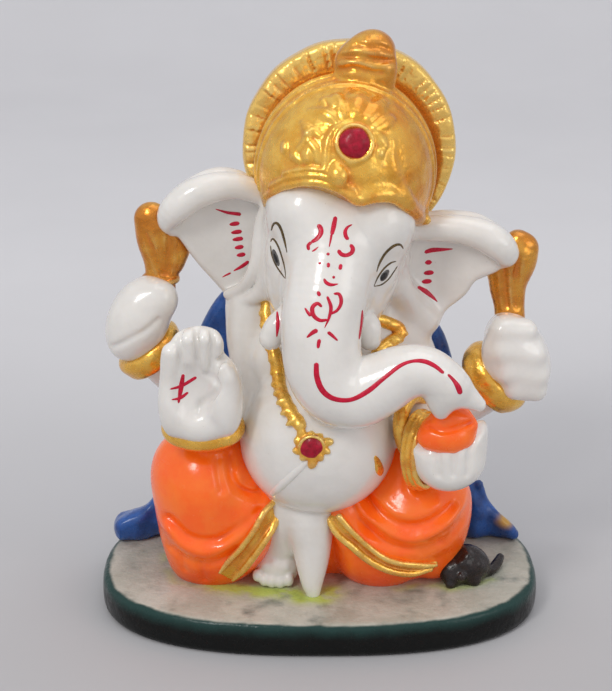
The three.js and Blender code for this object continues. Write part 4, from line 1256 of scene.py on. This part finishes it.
def sculpt_modak():
    clay = Clay((12.5, -23.5, 30.5), (28.5, -9.5, 44.0))
    pile(clay, "modak", [
        (0.5, (20.4, -16.2, 37), (4.7, 4.2, 3.4)),
        (1, (20.9, -16.4, 39.8), (3.3, 3, 2.2)),
        (0.9, (17.6, -17.6, 36.8), (2.2, 1.9, 2)),
        (0.7, (23.2, -17.4, 38.8), (1.9, 1.7, 1.8)),
    ])
    crease = [(17, 39.4, 0.3), (19.4, 38.4, 0.45), (22.4, 39.2, 0.45), (24.6, 40.4, 0.3)]
    clay.cut(laid(clay, -19, 0, crease), 0.6)
    return clay


def sculpt_cloak():
    clay = Clay((-39.5, -1.5, 5.0), (39.5, 20.5, 61.0), BODY_CELL * 1.25)
    outline = [
        (-36.4, 6.4), (-36.6, 9.6), (-34.4, 11.2), (-31, 12.6), (-28.8, 16), (-27.6, 22), (-26.6, 28),
        (-24.4, 35), (-22, 42), (-20, 48), (-16, 53.6), (-9, 56.6), (0.5, 57.6), (10, 55.4), (16.6, 51),
        (20.6, 47), (22.6, 42), (24.2, 35), (25.4, 28), (26.4, 20), (28.6, 14.6), (31.6, 11.4), (34.6, 8.8),
        (35.4, 6.2), (33, 5.7), (22, 5.7), (11, 5.7), (0, 5.7), (-11, 5.7), (-22, 5.7), (-34, 5.7),
    ]

    def depth(x, z):
        spread = 24.0 + 12.0 * np.exp(-(z - 6) / 7.0)
        arc = np.clip(np.abs(x) / spread, 0, 1.3)
        low = np.clip((40.0 - z) / 34.0, 0, 1)
        waves = np.sin(x * 0.62 + 0.05 * z) * 0.85 + np.sin(x * 1.27 - 0.04 * z + 1.0) * 0.35
        return 8.6 + 5.6 * low * (1 - 0.2 * low) - 4.2 * arc**2 * (0.5 + 0.5 * low) + waves * low * 0.8

    def half(x, z):
        return 1.9 + 0.02 * np.clip(30 - z, 0, 24) + 0 * x

    clay.add(plate(outline, depth, half, (-1, 20)), 0, "back_cloak")
    clay.add(limb([(-34.9, 10.0, 8.4, 2.0), (-32.0, 9.6, 8.9, 2.4), (-28.6, 9.6, 9.6, 2.4)]), 1.6)
    roll = even([(28.4, 17.4), (29.6, 13.8), (31.2, 11.4), (33.4, 9.2), (35.0, 7.4)], 0.75)
    clay.add(laid(clay, 7, 0.2, roll), 1.2)
    return clay


def sculpt_mouse():
    clay = Clay((17.0, -14.5, 4.8), (35.0, 4.5, 15.5))
    pile(clay, "mouse_body", [
        (0.5, (25, -6.6, 8.4), (3.9, 3.7, 3.5)),
        (0.8, (26.8, -5.8, 7.8), (2.3, 2.8, 2.6)),
        (0.5, (26.2, -9, 6.8), (1.3, 1.2, 1.3)),
    ])
    pile(clay, "mouse_head", [
        (0.7, (22.8, -8, 8), (2.6, 2.4, 2.5)),
        (0.7, (22.7, -8.8, 7.2, 1.7), (22.2, -10, 6.4, 0.9)),
        (0.5, (22, -7.6, 10.4), (1, 0.8, 0.9)),
        (0.5, (24.4, -9.4, 10), (1.1, 0.8, 0.9)),
    ])
    pile(clay, "mouse_tail", [
        (0.4, (27.8, -5.8, 7, 1.5), (29.6, -5, 6.6, 0.95), (30.8, -3.2, 6.9, 0.9), (31.5, -1.6, 7.2, 0.75)),
    ])
    lumps = ((26.6, -8.8, 9.6, 0.9), (28, -7, 9.2, 0.9), (25.2, -8.6, 11, 0.8), (24, -10.4, 8, 0.8))
    pile(clay, "mouse_body", [(0.6, (x, y, z), (size,) * 3) for x, y, z, size in lumps])
    return clay


def sculpt_plinth():
    half = PLINTH_HIGH[:2] - 0.12
    n = PLINTH_SQUARENESS
    clay = Clay((-39.5, -25.5, -1.5), (39.5, 25.5, 7.6), BODY_CELL * 1.3)

    def distance(x, y, z):
        across, deep = np.abs(x) / half[0], np.abs(y) / half[1]
        total = across**n + deep**n + TINY
        steep = np.sqrt((across ** (n - 1) / half[0]) ** 2 + (deep ** (n - 1) / half[1]) ** 2)
        edge = (total ** (1 / n) - 1) / np.maximum(total ** (1 / n - 1) * steep, 0.012)
        edge = edge + 0.10 * (1 + np.sin(np.arctan2(y, x) * 5 + 0.6)) * np.clip(z / 5, 0, 1)
        top = PLINTH_TOP - 0.1 + 0.08 * np.sin(x * 0.24 + 1) * np.sin(y * 0.31)
        return rounded(np.abs(z - top / 2) - top / 2, edge + 0.035 * (z - 3) ** 2, 0.95)

    clay.add(Shape((-39, -25, -1), (39, 25, 7), distance), 0, "plinth")
    return clay


# ---------------------------------------------------------------- where the paint lies


def gilt_corner(points):
    """The gold dab on the cloak's left-hand corner."""
    apart = np.linalg.norm((points - (33.3, 8.0, 10.2)) / (1.5, 4.0, 1.1), axis=1)
    return {"gilt": np.clip(1.6 - apart, 0, 1)}


def crown_shaded_side(points):
    """Painted shade: the crown's gold turns browner towards its left-hand side, the side away from the
    window light.
    """
    return {"brown_and_shade": 0.6 * np.clip((points[:, 0] - 8.5) / 8.0, 0, 1)}


# yellow-green paint round the feet, by the mouse and by the right knee: (half-width, strength, points...)
GREEN_RUNS = (
    (2.0, 1.5, (-18, -9.8), (-13.5, -10.8), (-9, -12), (-4.5, -12.2), (-3, -14.2), (0.5, -14.2), (2, -11.5)),
    (1.0, 0.7, (13, -10.8), (17, -9.4), (20.4, -9.4), (22, -11), (25.5, -9.6), (29.5, -7)),
    (0.9, 0.4, (-27.4, 2), (-26.8, -3), (-25, -8.2), (-21, -9.8), (-18, -9.8)),
)


def plinth_paint(points):
    """How much yellow-green wash lies at each point of the plinth, and how near its edge (1) that is."""
    total = np.zeros(len(points))
    for width, strength, *line in GREEN_RUNS:
        near = off_line(line, points[:, 0], points[:, 1])
        total = np.maximum(total, strength * np.exp(-near / width**2))
    share = np.abs(points[:, :2]) / PLINTH_HIGH[:2]
    level = (share**PLINTH_SQUARENESS).sum(1) ** (1 / PLINTH_SQUARENESS)
    edge = np.clip((level - 0.93) / 0.05, 0, 1.5)
    return {"green_run": total * (points[:, 2] > PLINTH_TOP - 0.6), "edge": edge}


def all_over(key, share):
    return lambda points: {key: np.full(len(points), share)}


# ---------------------------------------------------------------- painted strokes


class Strokes:
    """Thin raised ribbons of paint, thrown on the white skin from the painter's eye.

    A stroke is (ends, stations...). A station is (x, z, full width). ends says how round (1) or square (0)
    the first and the last end is, then the stroke's own depth if it has one.
    A dab is (x, z, wide, tall, lean).
    """

    SPREAD = 2.2  # how many half-widths from its middle a stroke's edge can lie on a steep side
    PROFILE = (
        (-1.0, -0.12), (-0.94, 0.45), (-0.6, 0.85), (0.0, 1.0),
        (0.6, 0.85), (0.94, 0.45), (1.0, -0.12), (0.0, -2.6),
    )  # fmt: skip

    def __init__(self, clay, depth, rise, strokes):
        """rise is how proud the middle of a stroke stands, in millimetres."""
        self.clay, self.depth, self.rise = clay, depth, rise
        self.points, self.faces = [], []
        for stroke in strokes:
            if isinstance(stroke[0], tuple):
                self.add(*stroke)
            else:
                self.dab(*stroke)

    def dab(self, x, z, wide, tall, lean=0.0):
        """A short fat stroke, its lean in degrees."""
        dx, dz = math.sin(math.radians(lean)) * tall / 2, math.cos(math.radians(lean)) * tall / 2
        self.add((0.5, 0.5), (x - dx, z - dz, wide * 0.9), (x, z, wide), (x + dx, z + dz, wide * 0.9))

    def add(self, ends, *stations):
        depth = ends[2] if len(ends) > 2 else self.depth
        run = spline([(x, z, wide / 2) for x, z, wide in stations], 7)
        along = lengths(run[:, :2])
        steps = np.linspace(0, along[-1], max(int(along[-1] / 0.16), 7))
        path = np.column_stack([np.interp(steps, along, run[:, k]) for k in (0, 1)])
        half = np.interp(steps, along, np.maximum(run[:, 2], 0.03))
        for distance, soft in ((steps, ends[0]), (steps[-1] - steps, ends[1])):
            reach = np.maximum(half * 2 * soft, 0.05)
            half = half * np.sqrt(np.clip(1 - (1 - np.clip(distance / reach, 0, 1)) ** 2, 0.02, 1))
        way = np.gradient(path, axis=0)
        way /= np.maximum(np.linalg.norm(way, axis=1, keepdims=True), TINY)
        side = np.column_stack([-way[:, 1], way[:, 0]])
        middle = thrown(self.clay, path, depth)
        rings = []
        for across, lift in self.PROFILE:
            apart = thrown(self.clay, path + side * (across * half)[:, None], depth) - middle
            reach = np.linalg.norm(apart, axis=1, keepdims=True)
            spots = middle + apart * np.minimum(1, self.SPREAD * half[:, None] / np.maximum(reach, 1e-6))
            spots = spots - self.clay.slope(spots) * np.clip(self.clay.at(spots), -0.5, 0.5)[:, None]
            rise = np.clip(half / 0.25, 0.35, 1) * self.rise * lift
            rings.append(spots + self.clay.slope(spots) * rise[:, None])
        base, around = sum(len(p) for p in self.points), len(self.PROFILE)
        self.points.append(np.stack(rings, axis=1).reshape(-1, 3))
        last = base + (len(path) - 1) * around
        for ring in range(base, last, around):
            for j in range(around):
                a, b = ring + j, ring + (j + 1) % around
                self.faces.append((a, b, b + around, a + around))
        for corner, turn in ((base, 1), (last, -1)):  # close both ends
            for j in range(1, around // 2):
                quad = (corner + j - 1, corner + j, corner + around - j - 1, corner + around - j)
                self.faces.append(quad[::turn])

    def make(self, name, material, slot):
        mesh = make_piece(name, np.vstack(self.points), np.array(self.faces), material, slot)
        shape = bmesh.new()
        shape.from_mesh(mesh)
        bmesh.ops.recalc_face_normals(shape, faces=shape.faces)
        shape.to_mesh(mesh)
        shape.free()


LINE_RISE, PUPIL_RISE = 0.085, 0.13
# X, Z and length of each short tick on the ears
RIGHT_TICKS = (
    (-14.1, 67.2, 1.7), (-13.8, 65.8, 1.8), (-13.6, 64.6, 1.8), (-13.4, 63.2, 1.5), (-13.1, 61.9, 1.5),
)  # fmt: skip
LEFT_TICKS = ((17.8, 60.6, 1.2), (17.9, 58.8, 1.7), (17.6, 57.3, 1.7))
MARKS = (
    ("belly_dab", "gold", -15, LINE_RISE, (
        ((0.55, 0.55), (8.8, 32.4, 0.5), (9.3, 31.2, 1.1), (9.6, 29.8, 1.4), (9.7, 28.8, 0.6)),
    )),
    ("tilak_marks", "ruby", -14, LINE_RISE, (
        ((0.5, 0.4), (2.2, 72.4, 0.62), (1.9, 70.8, 0.78), (1.6, 69.4, 0.55)),
        ((0.4, 1), (1.6, 69.6, 0.4), (1.4, 68.4, 0.3), (1.2, 67.4, 0.14)),
        ((0.55, 0.55), (-0.6, 71.1, 0.7), (-0.15, 70.5, 0.8), (-0.1, 69.7, 0.8), (-0.7, 68.8, 0.7),
         (-1.6, 68.2, 0.5)),
        ((0.4, 0.5), (-1.5, 68.3, 0.45), (-2.05, 67.7, 0.55), (-1.95, 66.9, 0.5)),
        ((0.8, 1), (-1.5, 66.7, 0.16), (-1, 67, 0.3), (-0.45, 67.5, 0.12)),
        ((1, 0.4), (4.8, 71.1, 0.2), (4.1, 70.7, 0.4), (3.7, 70, 0.6), (3.8, 69.2, 0.65), (4.2, 68.6, 0.5)),
        ((0.55, 0.55), (4.5, 67.9, 0.55), (4.9, 67.2, 0.7), (4.7, 66.5, 0.7), (3.9, 66.1, 0.65),
         (3.1, 66.3, 0.7), (2.6, 67, 0.6)),
        (1.05, 66.3, 0.55, 0.5),
        (-0.25, 64.8, 0.42, 0.5),
        (1.1, 64.5, 0.55, 0.8),
        (3, 64.2, 0.6, 1, 10),
        (1.95, 62.5, 0.45, 0.5),
        ((0.8, 1), (0.4, 62.3, 0.35), (0.8, 61.6, 0.6), (1.6, 61.25, 0.55), (2.7, 61.4, 0.15)),
    )),
    ("trunk_sprig", "ruby", -16.5, LINE_RISE, (  # a curled leaf sprig
        ((1, 0.6), (0.5, 54.9, 0.12), (1.2, 56.6, 0.45), (1.5, 58.4, 0.6), (0.9, 60.2, 0.4)),
        ((0.55, 0.55), (1.3, 57.2, 0.4), (2.5, 57.9, 0.5), (3.1, 59.2, 0.6), (2.8, 60.5, 0.55),
         (1.9, 60.6, 0.35)),
        ((0.55, 0.55), (1, 56.3, 0.4), (-0.2, 56.2, 0.6), (-1.2, 57, 0.7), (-1.4, 58.3, 0.7),
         (-0.6, 59, 0.6), (0.1, 58.4, 0.4)),
        ((0.4, 1), (-1.6, 56.9, 0.6), (-2.1, 57.5, 0.5), (-2.6, 58.3, 0.25)),
        (-0.4, 60.6, 0.6, 0.9, -20),
        ((0.4, 0.8), (-0.55, 54.6, 0.75), (-1.3, 54.2, 0.7), (-2.3, 53.3, 0.3)),
        ((0.5, 0.8), (1, 54.3, 0.6), (1.7, 53.7, 0.55), (2.6, 52.8, 0.3)),
        ((0.55, 0.55), (-0.25, 53.1, 0.6), (-0.4, 52.4, 0.6), (-0.5, 51.5, 0.45)),
    )),
    ("trunk_line", "ruby", -22, LINE_RISE, (
        ((0.5, 0.6), (-0.8, 51.2, 0.75), (-0.7, 48.8, 0.9), (0.2, 46.5, 0.95), (2, 45.15, 0.85),
         (4.6, 45, 0.75), (7.2, 46.4, 0.85), (9.6, 48.5, 0.7), (12.1, 50.6, 0.65), (14, 51.4, 0.55),
         (15.9, 51.4, 0.75), (17.6, 50.6, 0.7), (19, 49.4, 0.5)),
        ((0.8, 0.5, -21), (19.7, 48.9, 0.4), (20.7, 47.8, 0.6), (21.4, 46.7, 0.9), (21.8, 45.5, 0.8)),
    )),
    ("mouth_lines", "ruby", -12, LINE_RISE, (
        ((1, 1), (-7, 56.2, 0.25), (-6.9, 54, 0.65), (-7.1, 51.8, 0.2)),
        ((1, 1), (6.6, 56.4, 0.2), (6.5, 54, 0.75), (6.1, 51.4, 0.25)),
    )),
    ("ear_marks_right", "ruby", 0, LINE_RISE, (
        ((1, 0.5), (-17.2, 69.7, 0.15), (-15.2, 69.1, 0.5), (-13, 68.8, 0.65)),
        *(((0.7, 0.5), (x - long / 2, z - 0.15, 0.4), (x, z, 0.75), (x + long / 2, z + 0.12, 0.6))
          for x, z, long in RIGHT_TICKS),
        ((0.5, 1), (-11.8, 60.8, 0.55), (-13, 59.9, 0.6), (-14.4, 59.1, 0.2)),
        ((0.8, 1), (-14.8, 58.8, 0.35), (-15.6, 58.4, 0.3), (-16.3, 58, 0.1)),
    )),
    ("ear_marks_left", "ruby", 0, LINE_RISE, (
        ((0.5, 1), (17.1, 62.3, 0.6), (18.4, 62.7, 0.8), (20.2, 62.8, 0.55), (21.8, 62.9, 0.15)),
        *(((0.6, 0.6), (x - long / 2, z - 0.1, 0.5), (x, z, 0.85), (x + long / 2, z + 0.05, 0.6))
          for x, z, long in LEFT_TICKS),
        ((0.5, 1), (16.1, 56.4, 0.5), (17.4, 55.6, 0.85), (18.6, 54.6, 0.6), (19.5, 53.7, 0.12)),
    )),
    ("palm_mark", "ruby", -16, LINE_RISE, (
        ((0.5, 0.9), (-21.9, 47, 0.5), (-22.3, 44.8, 0.8), (-22.8, 42, 0.35)),
        ((1, 0.6), (-24.1, 44.4, 0.25), (-22.2, 45, 0.55), (-19.8, 46.5, 0.5)),
        ((1, 0.6), (-23.9, 42.6, 0.2), (-22.5, 42.9, 0.55), (-21.2, 43.9, 0.4)),
    )),
    ("eye_lines", "brow", -11, LINE_RISE, (
        ((1, 1), (-7.9, 69.2, 0.2), (-7.5, 70.3, 0.35), (-6.9, 70.4, 0.45), (-6.3, 69.4, 0.42),
         (-5.8, 67.6, 0.36), (-5.4, 65.6, 0.12)),
        ((1, 1), (-8, 67.4, 0.16), (-7.6, 67.9, 0.3), (-6.9, 66.9, 0.3), (-6.3, 65.2, 0.26),
         (-5.8, 63.2, 0.24), (-5.6, 61.3, 0.14)),
        ((1, 1), (-8, 66.8, 0.16), (-7.8, 65.2, 0.22), (-7.2, 63.6, 0.24), (-6.4, 62.3, 0.26),
         (-5.7, 61.3, 0.16)),
        ((1, 1), (8.8, 62.4, 0.12), (9.3, 64, 0.36), (10.3, 65.7, 0.42), (11.6, 66.8, 0.45),
         (12.5, 66.9, 0.36), (13, 66.2, 0.16)),
        ((1, 1), (8.4, 60, 0.14), (9, 61.5, 0.26), (9.9, 62.9, 0.3), (11, 63.9, 0.3), (11.9, 64.2, 0.16)),
        ((1, 1), (8.4, 60, 0.14), (9.6, 60.3, 0.24), (10.7, 61.2, 0.22), (11.5, 62.4, 0.2),
         (12.1, 63.4, 0.12)),
    )),
    ("irises", "iris", -11, LINE_RISE, (
        ((0.9, 0.9), (-7.6, 66.2, 0.5), (-7.2, 64.8, 0.85), (-6.7, 63.4, 0.5)),
        ((0.8, 0.8), (9.5, 60.9, 0.6), (10, 61.7, 1.05), (10.7, 62.8, 0.6)),
    )),
    ("pupils", "pupil", -11, PUPIL_RISE, (
        ((0.55, 0.55), (-7.45, 65.6, 0.35), (-7.15, 64.7, 0.6), (-6.85, 63.8, 0.35)),
        ((0.55, 0.55), (9.5, 61, 0.5), (9.95, 61.7, 0.85), (10.4, 62.4, 0.5)),
    )),
)  # fmt: skip


# ---------------------------------------------------------------- casting


def paint_marks(body, gold):
    paints = {
        "gold": (gold, "gold_paint"),
        "ruby": (ruby_material(), "ruby_paint"),
        "brow": (dark_material("brow_paint", (0.150, 0.090, 0.018), (0.055, 0.034, 0.010)), "dark_paint"),
        "pupil": (dark_material("pupil_paint", (0.030, 0.028, 0.028), (0.012, 0.011, 0.012)), "dark_paint"),
        "iris": (dark_material("iris_paint", (0.17, 0.16, 0.15), (0.09, 0.085, 0.08)), "dark_paint"),
    }
    for name, paint, depth, rise, strokes in MARKS:
        Strokes(body, depth, rise, strokes).make(name, *paints[paint])


def cast_all():
    """Makes every piece: the forms of each lump, the plinth, the two stones and the painted marks."""
    body, bare_body = sculpt_body()
    crown, crown_gem = sculpt_crown()
    dhoti = sculpt_dhoti()
    necklaces, pendant_gem = sculpt_necklaces(bare_body)
    ivory = (ivory_material(), "ivory_lacquer")
    gold = (gold_material(), "gold_paint")
    orange = (orange_material(), "orange_paint")
    lumps = [
        (body, ivory),
        (crown, gold),
        (necklaces, gold),
        (dhoti, orange),
        (sculpt_hems(dhoti), gold),
        (sculpt_modak(), orange),
        (sculpt_cloak(), (blue_material(), "blue_paint")),
        (sculpt_mouse(), (dark_material(), "dark_paint")),
        (sculpt_thread(bare_body), ivory),
        *((clay, gold) for clay in sculpt_cuffs()),
        *((clay, gold) for clay in sculpt_held()),
        (sculpt_plinth(), (plinth_material(), "marbled_plinth")),
    ]
    extras = {
        "back_cloak": gilt_corner,
        # the halo is painted pale all over, a painted highlight
        "crown_halo": all_over("pale", 0.8),
        "crown_finial": all_over("brown_and_shade", 0.6),
        "axe_right": all_over("brown_and_shade", 0.9),
        "goad_left": all_over("brown_and_shade", 0.9),
        # painted shade on the crown's left-hand side
        "crown_cap": crown_shaded_side,
        "crown_band": crown_shaded_side,
        "plinth": plinth_paint,
    }
    stone_paint = ruby_material("gem_paint", (0.46, 0.004, 0.030), (0.27, 0.002, 0.014))
    stones = (("crown_gem", crown_gem, 2.5, 0.36), ("pendant_gem", pendant_gem, 2.25, 0.1))
    for name, at, radius, lean in stones:
        stone = Clay(at - 4.5, at + 4.5, FINE_CELL * 0.7)
        stone.add(cut_stone(at, radius, lean), 0, name)
        lumps.append((stone, (stone_paint, "ruby_paint")))
    for clay, paint in lumps:
        for form in clay.forms:
            field = clay.form_field(form) if len(clay.forms) > 1 else None
            cast(form, clay, *paint, field, extras.get(form))
    paint_marks(body, gold[0])


cast_all()
add_camera()
add_studio()
